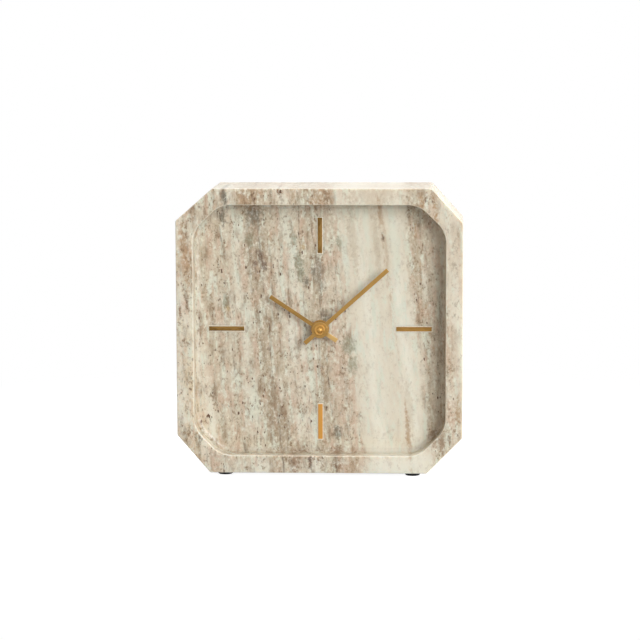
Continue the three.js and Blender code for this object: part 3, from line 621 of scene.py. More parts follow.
def honed_marble():
    marble = Finish("honed_marble")
    bent, stone = bedded(marble)
    dusky = dusky_beds(marble, bent)
    grain = marble.noise(marble.place((1.7, 1.7, 2.3)), detail=3.0, roughness=0.75) - 0.5
    stone = streaked(marble, stone, dusky, grain)
    stone, gritty = with_patches(marble, stone, grain)
    stone = mottled(marble, stone, dusky, grain)
    stone = with_veins(marble, stone)
    gather = marble.noise(marble.place((6, 9, 12), STREAK_LEAN), detail=4.0, roughness=0.6)
    clusters = marble.rise(gather, 0.4, 0.65) * 1.4 - 0.4
    crowd = clusters * (0.3 + 0.7 * dusky) - 1.0 + dusky + 0.8 * gritty
    ink = marble.mix(marble.rise(gather, 0.35, 0.6), PALE_BARK, BARK)
    for size, rarity in speck_sizes:
        stone = with_specks(marble, stone, size, crowd, rarity, ink)
    # the eased front edges are painted paler: partly bruised stone, partly painted highlight
    bruise_and_highlight = marble.attribute("arris")
    # painted shade in the cove round the dial's floor
    cove_shade = marble.attribute("cove")
    stone = marble.mix(bruise_and_highlight * 0.4, stone, BONE)
    stone = marble.mix(cove_shade * 0.12, stone, UMBER)
    crystals = marble.noise(marble.place((0.5, 0.5, 0.7)), detail=3.0, roughness=0.7)
    marble.set(scattering)
    return marble.cover(stone, 0.28 + 0.16 * crystals, marble.bump(crystals, 0.25, 0.00006))


honed = honed_marble()
print("marble with", len(beds), "beds and", len(patches), "clouds and inclusions")

# %% [markdown]
# ## Shaping helpers
# The stone is worked as in the shop: saw, rout and mill, then ease the edges. A saw cut is
# bisect_plane with one side cleared and the cut face filled. A rout or a drilled hole is a
# Boolean with the shape of the room that the cutter clears.

# %% Blanks, saw cuts, edges by test and carving


def move(shape, x, y, z=0):
    bmesh.ops.translate(shape, vec=(x, y, z), verts=shape.verts)


def turn_about_z(shape, angle):
    bmesh.ops.rotate(shape, matrix=Matrix.Rotation(angle, 3, "Z"), verts=shape.verts)


def blank(low, high):
    """A plain block between two corners."""
    shape = bmesh.new()
    bmesh.ops.create_cube(shape, size=1)
    low, high = Vector(low), Vector(high)
    bmesh.ops.scale(shape, vec=high - low, verts=shape.verts)
    middle = (low + high) / 2
    move(shape, *middle)
    return shape


def saw(shape, point, outwards):
    """Takes off what lies past a plane and closes the cut."""
    everything = shape.verts[:] + shape.edges[:] + shape.faces[:]
    result = bmesh.ops.bisect_plane(
        shape, geom=everything, dist=1e-5, plane_co=point, plane_no=outwards, clear_outer=True
    )
    rim = [part for part in result["geom_cut"] if isinstance(part, bmesh.types.BMEdge)]
    bmesh.ops.edgeloop_fill(shape, edges=rim)
    bmesh.ops.recalc_face_normals(shape, faces=shape.faces)


def edges_where(shape, test):
    """The edges whose two end points both pass a test."""
    return [edge for edge in shape.edges if all(test(vert.co) for vert in edge.verts)]


def upright(shape):
    """The edges that run from back to front."""
    found = []
    for edge in shape.edges:
        run = edge.verts[1].co - edge.verts[0].co
        if abs(run.z) > 0.9 * run.length:
            found.append(edge)
    return found


def ease(shape, edges, width, segments=3):
    """Rounds edges. The width is measured along the faces beside each edge."""
    bmesh.ops.bevel(
        shape,
        geom=edges,
        offset=width,
        offset_type="OFFSET",
        affect="EDGES",
        segments=segments,
        profile=0.5,
        material=-1,
        clamp_overlap=True,
    )


def loose_object(shape, name="tool"):
    """A temporary object from a bmesh, which is freed."""
    mesh = bpy.data.meshes.new(name)
    shape.to_mesh(mesh)
    shape.free()
    thing = bpy.data.objects.new(name, mesh)
    bpy.context.collection.objects.link(thing)
    return thing


def boolean(shape, others, operation):
    """Cuts shapes from a shape or joins them to it, and gives back the result."""
    body = loose_object(shape, "body")
    tools = [loose_object(other) for other in others]
    for tool in tools:
        step = body.modifiers.new("step", "BOOLEAN")
        step.operation = operation
        step.solver = "EXACT"
        step.object = tool
    ready = body.evaluated_get(bpy.context.evaluated_depsgraph_get())
    result = bmesh.new()
    result.from_mesh(ready.to_mesh())
    ready.to_mesh_clear()
    for thing in [body, *tools]:
        mesh = thing.data
        bpy.data.objects.remove(thing)
        bpy.data.meshes.remove(mesh)
    bmesh.ops.remove_doubles(result, verts=result.verts, dist=1e-4)
    bmesh.ops.dissolve_degenerate(result, edges=result.edges, dist=1e-4)
    return result


def carve(shape, *tools):
    return boolean(shape, tools, "DIFFERENCE")


def weld(shape, *others):
    return boolean(shape, others, "UNION")


# %% Turning a finished shape into a piece of the clock
SMOOTH_BELOW = radians(32)


def piece(shape, name, body, materials, nodes=None, space=from_dial):
    """Lays a shape in the clock's frame as an object that rides on a body."""
    bmesh.ops.transform(shape, matrix=space, verts=shape.verts)
    mesh = bpy.data.meshes.new(name)
    for face in shape.faces:
        face.smooth = True
    shape.to_mesh(mesh)
    shape.free()
    mesh.set_sharp_from_angle(angle=SMOOTH_BELOW)
    for material in materials:
        mesh.materials.append(material)
    made = bpy.data.objects.new(name, mesh)
    bpy.context.collection.objects.link(made)
    normals = made.modifiers.new("face_weighted_normals", "WEIGHTED_NORMAL")
    normals.keep_sharp = True
    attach(made, body)
    if nodes:
        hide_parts(*nodes)
    print(f"{name}: {len(mesh.polygons)} faces")


# %% [markdown]
# ## The stone block
# Four saw cuts take the corners off. They were made by hand, so no two are alike. The router
# then leaves a dial with upright walls, wide rounded corners and a small cove at the floor.

# %% The blank with its sawn corners
corner_cuts = [
    # side, up or down, width and height that the cut takes off
    (-1, 1, 19.3, 17.0),
    (1, 1, 16.4, 17.9),
    (1, -1, 18.8, 19.0),
    (-1, -1, 17.3, 19.9),
]
CORNER_EASE = 0.6  # width of the eased edges that run from back to front
dial_low, dial_high = dial_box("marble_body")


def cut_corners(shape, low, high, cuts):
    """Saws off the upright corners of a blank."""
    for side, way, width, height in cuts:
        edge_x = high.x if side > 0 else low.x
        edge_y = high.y if way > 0 else low.y
        start = Vector((edge_x - side * width, edge_y, 0))
        saw(shape, start, Vector((side * height, way * width, 0)).normalized())


stone_shape = blank(dial_low, dial_high)
cut_corners(stone_shape, dial_low, dial_high, corner_cuts)
ease(stone_shape, upright(stone_shape), CORNER_EASE)

# %% The room for the dial
RECESS_HALF = 66
RECESS_CUT = 14  # how far the rounded corners cut into the square
RECESS_CORNER = 13  # radius of the rounded corners
COVE = 3
WALL_TOP = RECESS_DEPTH + 2


def dial_room():
    """The space that the router clears, with the cove round its floor."""
    low = Vector((-RECESS_HALF, -RECESS_HALF, 0))
    high = Vector((RECESS_HALF, RECESS_HALF, WALL_TOP))
    room = blank(low, high)
    cuts = [(side, way, RECESS_CUT, RECESS_CUT) for side in (-1, 1) for way in (-1, 1)]
    cut_corners(room, low, high, cuts)
    along_wall = RECESS_CORNER * tan(radians(45) / 2)
    ease(room, upright(room), along_wall, segments=10)
    ease(room, edges_where(room, lambda co: co.z < 0.001), COVE, segments=8)
    return room


# %% The rear pocket, the slots for the hour bars and the hole for the shafts
POCKET_HALF = 34
POCKET_CORNER = 8
POCKET_FLOOR = -6
SHAFT_HOLE = 3.9
BAR_INNER = 40.1
BAR_OUTER = 58.7
BAR_WIDTH = 2.3
BAR_THICKNESS = 1.5
BEDDING = 0.45
GAP = 0.05  # left between fixed pieces that touch


def pocket_room():
    """The pocket for the movement, open to the back."""
    low = (-POCKET_HALF, -POCKET_HALF, dial_low.z - 1)
    room = blank(low, (POCKET_HALF, POCKET_HALF, POCKET_FLOOR))
    ease(room, upright(room), POCKET_CORNER, segments=10)
    return room


def bar_block(margin, low, high):
    """An upright block round the twelve o'clock bar, wider all round by a margin."""
    half = BAR_WIDTH / 2 + margin
    return blank((-half, BAR_INNER - margin, low), (half, BAR_OUTER + margin, high))


def bar_room(turn):
    """The slot for one hour bar and its bedding, turned to its hour."""
    room = bar_block(BEDDING + GAP, -BAR_THICKNESS, 1)
    turn_about_z(room, turn)
    return room


def round_room(radius, low, high, segments=48):
    """A drilled hole between two heights, or a prism where it has few sides."""
    room = bmesh.new()
    bmesh.ops.create_cone(
        room, cap_ends=True, segments=segments, radius1=radius, radius2=radius, depth=high - low
    )
    move(room, 0, 0, (low + high) / 2)
    return room


hours = {12: 0, 9: 90, 6: 180, 3: 270}
slots = [bar_room(radians(turn)) for turn in hours.values()]
hole = round_room(SHAFT_HOLE, POCKET_FLOOR - 1, 1)
stone_shape = carve(stone_shape, dial_room(), pocket_room(), hole, *slots)

# %% Ease the front and back edges and set the stone in place


def on_front_or_back(co):
    return co.z > dial_high.z - 0.01 or co.z < dial_low.z + 0.01


def is_outline(edge):
    """An edge between a face of the block's front or back and one that turns away."""
    if not all(on_front_or_back(vert.co) for vert in edge.verts):
        return False
    return len(edge.link_faces) == 2 and edge.calc_face_angle() > radians(40)


ease(stone_shape, [edge for edge in stone_shape.edges if is_outline(edge)], ARRIS, segments=4)


def mark(shape, name, test):
    """Writes 1 on the points whose height passes a test and 0 on the others."""
    layer = shape.verts.layers.float.new(name)
    for vert in shape.verts:
        vert[layer] = float(test(vert.co.z))


def between(low, high):
    """A test for heights that lie inside two bounds."""
    return lambda z: low + 0.01 < z < high - 0.01


# the eased front edges, painted paler as bruised stone and as painted highlight, and the cove,
# which gets painted shade
mark(stone_shape, "arris", between(dial_high.z - ARRIS, dial_high.z))
mark(stone_shape, "cove", between(0, COVE))
piece(stone_shape, "stone_block", "clock_case", [honed], ["marble_body"])

# %% [markdown]
# ## Brass finishes
# The bars and the hands are thin rolled brass, brushed along their length and lightly aged,
# and the hub's nuts are turned on a lathe. Both finishes stretch one noise a hundred times
# further along the cutting marks than across them. It varies the roughness and, through a
# bump, the normal, and a slow second noise darkens the metal as an old lacquer does. How much
# each bar and hand is darkened is partly tarnish and partly painted shade, some bars get a
# painted warm reflection, and the hour hand's tail a painted highlight.

# %% Brushed brass along a direction, and turned brass
BRASS = linear(200, 157, 90)
DARKENED_BRASS = linear(116, 86, 46)
BRIGHT_BRASS = linear(228, 188, 120)
LATHE_BRASS = linear(204, 158, 88)
DULL_BRASS = linear(150, 108, 50)
WARM_BRASS = linear(246, 176, 88)
# a hand's tail gets a painted highlight that grows between these two places
TAIL_START = -3.5  # along a hand from its shaft, in millimetres
TAIL_GLINT_FULL = -6.0
RINGS = 7.0  # turning marks in each millimetre


def brushed_brass(name, turn, tarnish_and_shade, warm=0.0, tail_glint=0.0):
    """Brass brushed along a direction that is turned clockwise from upright. The third argument
    darkens it, partly as old lacquer and partly as painted shade, warm mixes in a painted
    reflection, and the last one paints a highlight on the tail."""
    brass = Finish(name)
    marks = brass.noise(brass.place((0.09, 0.09, 9), radians(turn)), detail=2.0)
    lacquer = brass.noise(brass.place((2.5, 2.5, 7), radians(turn)), detail=3.0, roughness=0.6)
    # darker by old lacquer and by painted shade
    color = brass.mix((0.5 + 0.5 * brass.rise(lacquer, 0.35, 0.65)) * tarnish_and_shade, BRASS, DARKENED_BRASS)
    color = brass.mix(brass.rise(marks, 0.5, 0.75) * 0.35, color, BRIGHT_BRASS)
    # painted warm reflection
    color = brass.mix(warm, color, WARM_BRASS)
    along = brass.split(brass.place(lean=radians(turn)))[2]
    # painted highlight on the tail of the hand
    color = brass.mix(brass.rise(along, TAIL_START, TAIL_GLINT_FULL) * tail_glint, color, BRIGHT_BRASS)
    return brass.cover(color, 0.3 + 0.14 * marks, brass.bump(marks, 0.3, 0.00002), metal=1.0)


def turned_brass():
    """Brass with the fine rings that a lathe tool leaves round the dial's axis."""
    brass = Finish("turned_brass")
    x, depth, z = brass.split(brass.place())
    radius = (x * x + z * z) ** 0.5
    rings = brass.node("ShaderNodeCombineXYZ", {}, radius * RINGS, depth * RINGS, 0.0)
    marks = brass.noise(rings, detail=1.0)
    tarnish = brass.noise(brass.place((2, 2, 2)), detail=3.0)
    color = brass.mix(brass.rise(tarnish, 0.4, 0.7) * 0.4, LATHE_BRASS, DULL_BRASS)
    return brass.cover(color, 0.36 + 0.12 * marks, brass.bump(marks, 0.25, 0.00002), metal=1.0)


lathe_brass = turned_brass()
print("brass finishes ready")

# %% [markdown]
# ## Hour bars in their bedding
# Each bar is a strip let into a slot that is a little too wide, and pale resin fills the rest.
# The resin shows as a fine light frame. It took up stone dust in places, so it isn't even.

# %% The resin's finish and the four bars
BAR_PROUD = 0.3


def pale_resin():
    resin = Finish("pale_resin")
    dust = resin.noise(resin.place((1.2, 1.2, 1.6)), detail=4.0, roughness=0.6)
    color = resin.mix(resin.rise(dust, 0.45, 0.7), linear(240, 232, 212), linear(214, 200, 172))
    return resin.cover(color, 0.45 + 0.2 * dust, resin.bump(dust, 0.4, 0.00005))


# how dark each bar is stands partly for tarnish and partly for painted shade; the warm mix is a
# painted reflection
bar_tarnish_and_shade = {12: 1.0, 9: 0.95, 6: 0.15, 3: 0.75}
bar_painted_reflection = {12: 0.0, 9: 0.0, 6: 0.75, 3: 0.1}
resin = pale_resin()
for hour, turn in hours.items():
    strip = bar_block(0, GAP - BAR_THICKNESS, BAR_PROUD)
    ease(strip, edges_where(strip, lambda co: co.z > 0), 0.08, segments=2)
    turn_about_z(strip, radians(turn))
    brass = brushed_brass(f"brass_bar_{hour}", -turn, bar_tarnish_and_shade[hour], bar_painted_reflection[hour])
    node = f"hour_bar_{hour}"
    piece(strip, f"bar_{hour}", "clock_case", [brass], [node])
    filling = bar_block(BEDDING, GAP - BAR_THICKNESS, -0.02)
    ease(filling, edges_where(filling, lambda co: co.z > -0.5), 0.06, segments=2)
    filling = carve(filling, bar_block(GAP, -2 * BAR_THICKNESS, 1))
    turn_about_z(filling, radians(turn))
    node = f"bar_bedding_{hour}"
    piece(filling, f"resin_{hour}", "clock_case", [resin], [node])

# %% [markdown]
# ## Hands and hub
# A hand is a flat blade that widens slightly to a square end, riveted to a turned boss. The
# blade starts as a plain block. It is scored across at the hub, and then its two ends are
# scaled, which tapers it. The boss is a disc, welded on and bored for its shaft.

# %% The two hands
minute_size = {
    "turn": 48.3,  # degrees clockwise from twelve
    "reach": 47.8,  # from the shaft to the tip
    "tail": 10.5,
    "widths": (2.3, 2.05, 2.25),  # at the tail, the hub and the tip
    "blade": (5.35, 5.85),  # heights above the dial
    "boss": (5.2, 6.0),
    "bore": 1.75,  # radius
}
hour_size = {
    "turn": 303.7,
    "reach": 31.4,
    "tail": 10.7,
    "widths": (2.35, 2.0, 2.15),
    "blade": (3.2, 3.7),
    "boss": (2.5, 4.1),
    "bore": 2.55,
}
BOSS_RADIUS = 4.25


def score(shape, point, across):
    """Adds a line of edges where a plane crosses the shape."""
    everything = shape.verts[:] + shape.edges[:] + shape.faces[:]
    bmesh.ops.bisect_plane(shape, geom=everything, dist=1e-5, plane_co=point, plane_no=across)


def sharp_edges(shape, angle=35):
    """The edges whose two faces meet at more than an angle in degrees."""
    joined = [edge for edge in shape.edges if len(edge.link_faces) == 2]
    return [edge for edge in joined if edge.calc_face_angle() > radians(angle)]


def hand(size):
    """A hand made from its sizes and turned to where it points."""
    tail_width, hub_width, tip_width = size["widths"]
    low, high = size["blade"]
    half = hub_width / 2
    blade = blank((-half, -size["tail"], low), (half, size["reach"], high))
    score(blade, Vector((0, 0, 0)), Vector((0, 1, 0)))
    for width, chosen in ((tail_width, lambda y: y < -1), (tip_width, lambda y: y > 1)):
        ends = [vert for vert in blade.verts if chosen(vert.co.y)]
        bmesh.ops.scale(blade, vec=(width / hub_width, 1, 1), verts=ends)
    ease(blade, sharp_edges(blade), 0.1, segments=2)
    floor, top = size["boss"]
    boss = round_room(BOSS_RADIUS, floor, top, 96)
    ease(boss, sharp_edges(boss), 0.14, segments=3)
    whole = carve(weld(blade, boss), round_room(size["bore"], floor - 1, top + 1, 64))
    turn_about_z(whole, -radians(size["turn"]))
    return whole


minute_brass = brushed_brass("brass_minute_hand", minute_size["turn"], 0.26)
hour_brass = brushed_brass("brass_hour_hand", hour_size["turn"], 0.5, tail_glint=0.95)
minute_blade = hand(minute_size)
piece(minute_blade, "minute_blade", "minute_hand", [minute_brass], ["minute_hand"])
hour_blade = hand(hour_size)
piece(hour_blade, "hour_blade", "hour_hand", [hour_brass], ["hour_hand"])

# %% Lathe work: a profile is spun round the dial's axis


def lathe(profile, segments=64):
    """Spins a profile of radius and height about z. A profile off the axis is closed first."""
    shape = bmesh.new()
    verts = [shape.verts.new((radius, 0, height)) for radius, height in profile]
    edges = [shape.edges.new(pair) for pair in zip(verts, verts[1:])]
    if profile[0][0] > 0:
        edges.append(shape.edges.new((verts[-1], verts[0])))
    bmesh.ops.spin(
        shape,
        geom=verts + edges,
        cent=(0, 0, 0),
        axis=(0, 0, 1),
        angle=radians(360),
        steps=segments,
        use_merge=True,
    )
    bmesh.ops.remove_doubles(shape, verts=shape.verts, dist=1e-4)
    bmesh.ops.recalc_face_normals(shape, faces=shape.faces)
    return shape


cap_profile = [
    # radius and height above the dial's floor, in millimetres
    (0, 6.9),
    (1.8, 6.9),
    (1.8, 6.05),
    (2.9, 6.05),
    (2.9, 6.95),
    (2.5, 7.3),
    (1.75, 7.3),
    (1.65, 7.18),
    (1.5, 7.3),
    (1.4, 7.55),
    (1.12, 7.86),
    (0.62, 8.05),
    (0, 8.1),
]
ring_profile = [(3.6, 0.05), (4.7, 0.05), (4.7, 1.15), (4.4, 1.45), (3.6, 1.45)]
cap = lathe(cap_profile)
ease(cap, sharp_edges(cap, 50), 0.06, segments=2)
piece(cap, "cap_nut", "minute_hand", [lathe_brass], ["minute_cap_nut"])
ring = lathe(ring_profile)
ease(ring, sharp_edges(ring, 50), 0.08, segments=2)
piece(ring, "ring_nut", "clock_case", [lathe_brass], ["bush_ring_nut"])

# %% The threaded bush
THREAD_PITCH = 0.75


def bush_profile(bore=2.6, outer=3.5, top=2.0, flange=5.0, flange_low=-8.7, flange_top=-7.95):
    """A bush whose thread is drawn as rings one pitch apart."""
    profile = [(bore, flange_low), (flange, flange_low), (flange, flange_top)]
    height = flange_top
    while height + THREAD_PITCH < top:
        profile += [(outer - 0.3, height + 0.05), (outer, height + THREAD_PITCH / 2)]
        height += THREAD_PITCH
    return profile + [(outer - 0.3, height + 0.05), (outer - 0.3, top), (bore, top)]


bush = lathe(bush_profile(), 48)
piece(bush, "bush", "clock_case", [lathe_brass], ["threaded_bush"])

# %% [markdown]
# ## Rubber feet
# Four small bumpers are glued under the block. Each is a turned disc with a soft edge, and its
# rubber is matt, nearly black and slightly grained.

# %% Rubber and the feet
FOOT_RADIUS = 4
FOOT_CHAMFER = 0.5


def matt_rubber():
    rubber = Finish("matt_rubber")
    grain = rubber.noise(rubber.place((0.35, 0.35, 0.35)), detail=3.0, roughness=0.6)
    color = rubber.mix(rubber.rise(grain, 0.4, 0.75), linear(32, 32, 35), linear(58, 57, 58))
    return rubber.cover(color, 0.75 + 0.2 * grain, rubber.bump(grain, 0.5, 0.00008))


rubber = matt_rubber()
into_metres = Matrix.Scale(MM, 4)
for place in ("front_left", "front_right", "rear_left", "rear_right"):
    low, high = [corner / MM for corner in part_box(f"foot_{place}")]
    profile = [(0, low.z), (FOOT_RADIUS - FOOT_CHAMFER, low.z)]
    profile += [(FOOT_RADIUS, low.z + FOOT_CHAMFER), (FOOT_RADIUS, high.z), (0, high.z)]
    bumper = lathe(profile, 48)
    ease(bumper, sharp_edges(bumper), 0.15, segments=2)
    middle = (low + high) / 2
    move(bumper, middle.x, middle.y)
    node = f"foot_{place}"
    piece(bumper, f"bumper_{place}", "clock_case", [rubber], [node], into_metres)

# %% [markdown]
# ## The movement at the back
# The pocket holds a common battery movement in a moulded case. Its construction shapes are
# already right, but a moulding has no knife edges. A copy of such a node has its loose
# triangles merged and its flat faces joined, and then its sharp edges are rounded.

# %% A copy of a construction node with eased edges


def eased_copy(node, width):
    """The shape of a construction node in dial space, with its sharp edges rounded."""
    shape = bmesh.new()
    shape.from_mesh(bpy.data.objects[node].data)
    bmesh.ops.transform(shape, matrix=to_dial, verts=shape.verts)
    bmesh.ops.remove_doubles(shape, verts=shape.verts, dist=1e-3)
    bmesh.ops.dissolve_limit(
        shape, angle_limit=radians(2), verts=shape.verts, edges=shape.edges
    )
    ease(shape, sharp_edges(shape, 40), width, segments=2)
    return shape


def moulded(name, color, lighter, grain_size=0.4, depth=0.00005, rough=0.5):
    """Moulded plastic: a fine spark-eroded grain and slow changes of tone."""
    plastic = Finish(name)
    grain = plastic.noise(plastic.place((grain_size,) * 3), detail=2.0)
    tone = plastic.noise(plastic.place((9, 9, 9)), detail=3.0)
    shade = plastic.mix(plastic.rise(tone, 0.3, 0.8), color, lighter)
    return plastic.cover(shade, rough + 0.15 * grain, plastic.bump(grain, 0.5, depth))


case_black = moulded("case_black", linear(34, 35, 37), linear(48, 49, 51))
cream, shaded_cream = linear(232, 228, 216), linear(216, 211, 198)
gear_white = moulded("gear_white", cream, shaded_cream, grain_size=0.8, depth=0.00002, rough=0.38)

# %% The case and its cover, with ribs and polarity marks
COVER_FACE = -22.5
BAY_FLOOR = -7.5


def slab(low, high, radius):
    """A small moulded bar with rounded edges."""
    bar = blank(low, high)
    ease(bar, bar.edges[:], radius, segments=2)
    return bar


def plus_sign(x, y, floor, top, reach, half):
    """A raised plus whose arms have a reach and half a width."""
    across = blank((x - reach, y - half, floor), (x + reach, y + half, top))
    up = blank((x - half, y - reach, floor), (x + half, y + reach, top))
    return weld(across, up)


base = eased_copy("movement_base", 0.22)
mark_low, mark_high = BAY_FLOOR - 0.35, BAY_FLOOR + 0.3
plus = plus_sign(20.5, -14.2, mark_low, mark_high, 1.6, 0.35)
minus = slab((-22.1, -14.55, mark_low), (-18.9, -13.85, mark_high), 0.08)
base = weld(base, plus, minus)
piece(base, "case_base", "clock_case", [case_black], ["movement_base"])

cover = eased_copy("movement_cover", 0.25)
grooves = [
    slab((x - 0.45, -4.0, COVER_FACE - 1), (x + 0.45, 21.0, COVER_FACE + 0.45), 0.15)
    for x in (-21, -17.5, -14)
]
cover = carve(cover, *grooves)
piece(cover, "case_cover", "clock_case", [case_black], ["movement_cover"])

# %% [markdown]
# ## Setting knob
# The knob turns the hands. Its rim is knurled for the fingers, its face is dished, and two
# raised arrows show the way to turn it. The knurl starts as a many-sided prism whose corners
# are pulled in by turns.

# %% The knob
KNOB_RADIUS = 6.5
KNOB_GROOVES = 36
GROOVE_DEPTH = 0.35
KNOB_BORE = 1.25
ARROW_INNER = 2.6
ARROW_OUTER = 3.4
ARROW_SWEEP = 50  # degrees from the middle of an arrow's shaft to its end
ARROW_HEAD = 1.35  # from a head's middle to its points
knob_low, knob_high = dial_box("setting_knob")
knob_middle = (knob_low + knob_high) / 2


def knob_shape():
    """A knurled disc with a dished face, bored for its shaft."""
    shape = round_room(KNOB_RADIUS, knob_low.z, knob_high.z, 2 * KNOB_GROOVES)
    verts = sorted(shape.verts, key=lambda vert: vert.co.xy.angle_signed(Vector((1, 0)), 0))
    for rank, vert in enumerate(verts):
        if (rank // 2) % 2:
            vert.co.xy *= 1 - GROOVE_DEPTH / KNOB_RADIUS
    ease(shape, sharp_edges(shape, 60), 0.35, segments=3)
    face = knob_low.z
    dish = lathe([(0, face - 1), (5.0, face - 1), (4.6, face + 0.45), (0, face + 0.6)])
    bore = round_room(KNOB_BORE, -26, knob_high.z + 1, 32)
    shape = carve(shape, dish, bore)
    move(shape, knob_middle.x, knob_middle.y)
    return shape


def knob_arrow(turn):
    """The curved shaft of one arrow, raised from the dished face, and the other's head."""
    low, high = knob_low.z + 0.2, knob_low.z + 0.7
    section = [(ARROW_INNER, low), (ARROW_OUTER, low), (ARROW_OUTER, high), (ARROW_INNER, high)]
    shaft = lathe(section)
    sweep = radians(ARROW_SWEEP)
    for way in (-1, 1):
        saw(shaft, Vector((0, 0, 0)), Vector((sin(sweep), cos(sweep) * way, 0)))
    head = round_room(ARROW_HEAD, low, high, 3)
    turn_about_z(head, sweep)
    around = radians(ARROW_SWEEP + 5)
    radius = (ARROW_INNER + ARROW_OUTER) / 2
    move(head, radius * cos(around), radius * sin(around))
    arrow = weld(shaft, head)
    turn_about_z(arrow, radians(turn))
    move(arrow, knob_middle.x, knob_middle.y)
    return arrow


knob = weld(knob_shape(), knob_arrow(0), knob_arrow(180))
piece(knob, "knob", "setting_knob", [case_black], ["setting_knob"])

# %% [markdown]
# ## Battery and contacts
# The cell drives the motor, and its case shows at the back. Its wrap is plain printed plastic
# that leaves both steel ends bare. One nickel-plated strip meets the tip. The other end has a
# spring that the cell presses nearly flat, so it is drawn as rings that rise to a cone.

# %% Metal finishes that are stamped, plated and wound


def plated_metal(name, color, darker, rough=0.24):
    """Rolled and plated strip: faint rolling lines, small scuffs and an even sheen."""
    metal = Finish(name)
    lines = metal.noise(metal.place((0.15, 0.15, 5)), detail=2.0)
    scuffs = metal.noise(metal.place((1.6, 1.6, 1.6)), detail=5.0, roughness=0.65)
    shade = metal.mix(metal.rise(scuffs, 0.5, 0.75) * 0.6, color, darker)
    roughness = rough + 0.1 * lines + 0.12 * scuffs
    return metal.cover(shade, roughness, metal.bump(lines, 0.25, 0.00002), metal=1.0)


nickel = plated_metal("nickel_plate", linear(205, 203, 196), linear(166, 162, 152))
motor_steel = plated_metal("motor_steel", linear(168, 168, 168), linear(128, 126, 122), 0.34)

# %% The printed wrap of the cell
CELL_X = (-24.7, 25.8)
CELL_RADIUS = 7.25
CELL_Y = -19.3
CELL_Z = -15.05
TIP_LENGTH = 1.3
BAND_START = 13.0
BAND_END = 22.6
PLUS_X = 18.0


def cell_wrap():
    """Dark plastic with a pale band towards the tip, and a plus that faces the back."""
    wrap = Finish("cell_wrap")
    along = wrap.split(wrap.place())[0]
    scuffs = wrap.noise(wrap.place((1.2, 1.2, 1.2)), detail=4.0)
    past_start = wrap.rise(along, BAND_START, BAND_START + 0.1)
    band = past_start * wrap.rise(along, BAND_END, BAND_END - 0.1)
    color = wrap.mix(band, linear(44, 52, 60), linear(188, 190, 186))
    middle = Vector((PLUS_X, 0, CELL_Y)) * MM + Vector((0, 0, dial_middle.z))
    x, depth, z = wrap.split(wrap.place(middle=middle))
    arm = abs(x).greatest(abs(z))
    thin = abs(x).least(abs(z))
    plus = wrap.rise(arm, 2.05, 1.95) * wrap.rise(thin, 0.45, 0.35) * wrap.rise(depth, 0.0, 0.1)
    color = wrap.mix(plus, color, linear(40, 42, 46))
    color = wrap.mix(wrap.rise(scuffs, 0.55, 0.8) * 0.3, color, linear(120, 122, 122))
    return wrap.set({"Base Color": color, "Roughness": 0.26 + 0.2 * scuffs, "Coat Weight": 0.3})


def lay_along_x(shape):
    """Turns a shape made about z so that it runs along x, and moves it to the cell's axis."""
    bmesh.ops.rotate(shape, matrix=Matrix.Rotation(radians(90), 3, "Y"), verts=shape.verts)
    move(shape, 0, CELL_Y, CELL_Z)


low, high = CELL_X
shoulder = high - TIP_LENGTH
wrap_profile = [
    # radius and place along the cell, in millimetres
    (5.9, low + 0.05),
    (6.9, low),
    (CELL_RADIUS, low + 0.45),
    (CELL_RADIUS, shoulder - 0.45),
    (6.9, shoulder),
    (5.9, shoulder - 0.1),
]
ends_profile = [
    (0, low + 0.12),
    (5.0, low + 0.12),
    (5.4, low + 0.3),
    (6.3, low + 0.3),
    (6.3, shoulder - 0.4),
    (4.4, shoulder - 0.4),
    (4.0, shoulder - 0.15),
    (2.7, shoulder - 0.1),
    (2.7, high - 0.3),
    (2.4, high),
    (0, high),
]
cell = lathe(wrap_profile, 96)
lay_along_x(cell)
piece(cell, "cell_wrap", "battery", [cell_wrap()], ["battery"])
can = lathe(ends_profile, 96)
lay_along_x(can)
piece(can, "cell_can", "battery", [nickel])

# %% Contacts
SPRING_X = -26.1
WIRE = 0.22  # radius of the spring's wire


def coil_section(radius, height):
    """Eight points round the wire's middle, for the lathe to spin."""
    turns = [radians(45 * step) for step in range(8)]
    return [(radius + WIRE * cos(turn), height + WIRE * sin(turn)) for turn in turns]


tip_contact = eased_copy("positive_contact", 0.1)
piece(tip_contact, "tip_contact", "clock_case", [nickel], ["positive_contact"])
spring_contact = eased_copy("negative_contact", 0.08)
coils = []
for radius, height in ((2.5, 0.15), (1.9, 0.55), (1.3, 0.9)):
    coil = lathe(coil_section(radius, height), 48)
    lay_along_x(coil)
    move(coil, SPRING_X, 0)
    coils.append(coil)
spring_contact = weld(spring_contact, *coils)
node = "negative_contact"
piece(spring_contact, "spring_contact", "clock_case", [nickel], [node])

# %% [markdown]
# ## Inside the case
# The gears, the motor and the board stay as the construction model made them, since the case
# hides them, but each still gets its own finish: natural acetal, annealed steel, enamelled
# copper wire and green solder mask.

# %% Finishes of the hidden parts


def copper_winding():
    copper = Finish("copper_winding")
    turns = copper.noise(copper.place((0.12, 8, 8)), detail=0.0)
    color = copper.mix(copper.rise(turns, 0.35, 0.65), linear(150, 78, 42), linear(206, 122, 74))
    return copper.cover(color, 0.35, copper.bump(turns, 0.6, 0.00005), metal=0.9)


def solder_mask():
    board = Finish("solder_mask")
    x = board.split(board.place((1.6, 1, 1.6)))[0]
    bends = board.noise(board.place((3, 3, 3)), detail=0.0)
    wave = (x + 2.0 * bends).ping_pong(0.5)
    track = board.rise(wave, 0.34, 0.38)
    color = board.mix(track, linear(26, 82, 48), linear(44, 116, 70))
    return board.cover(color, 0.34 + 0.1 * bends, board.bump(track, 0.5, 0.00004))


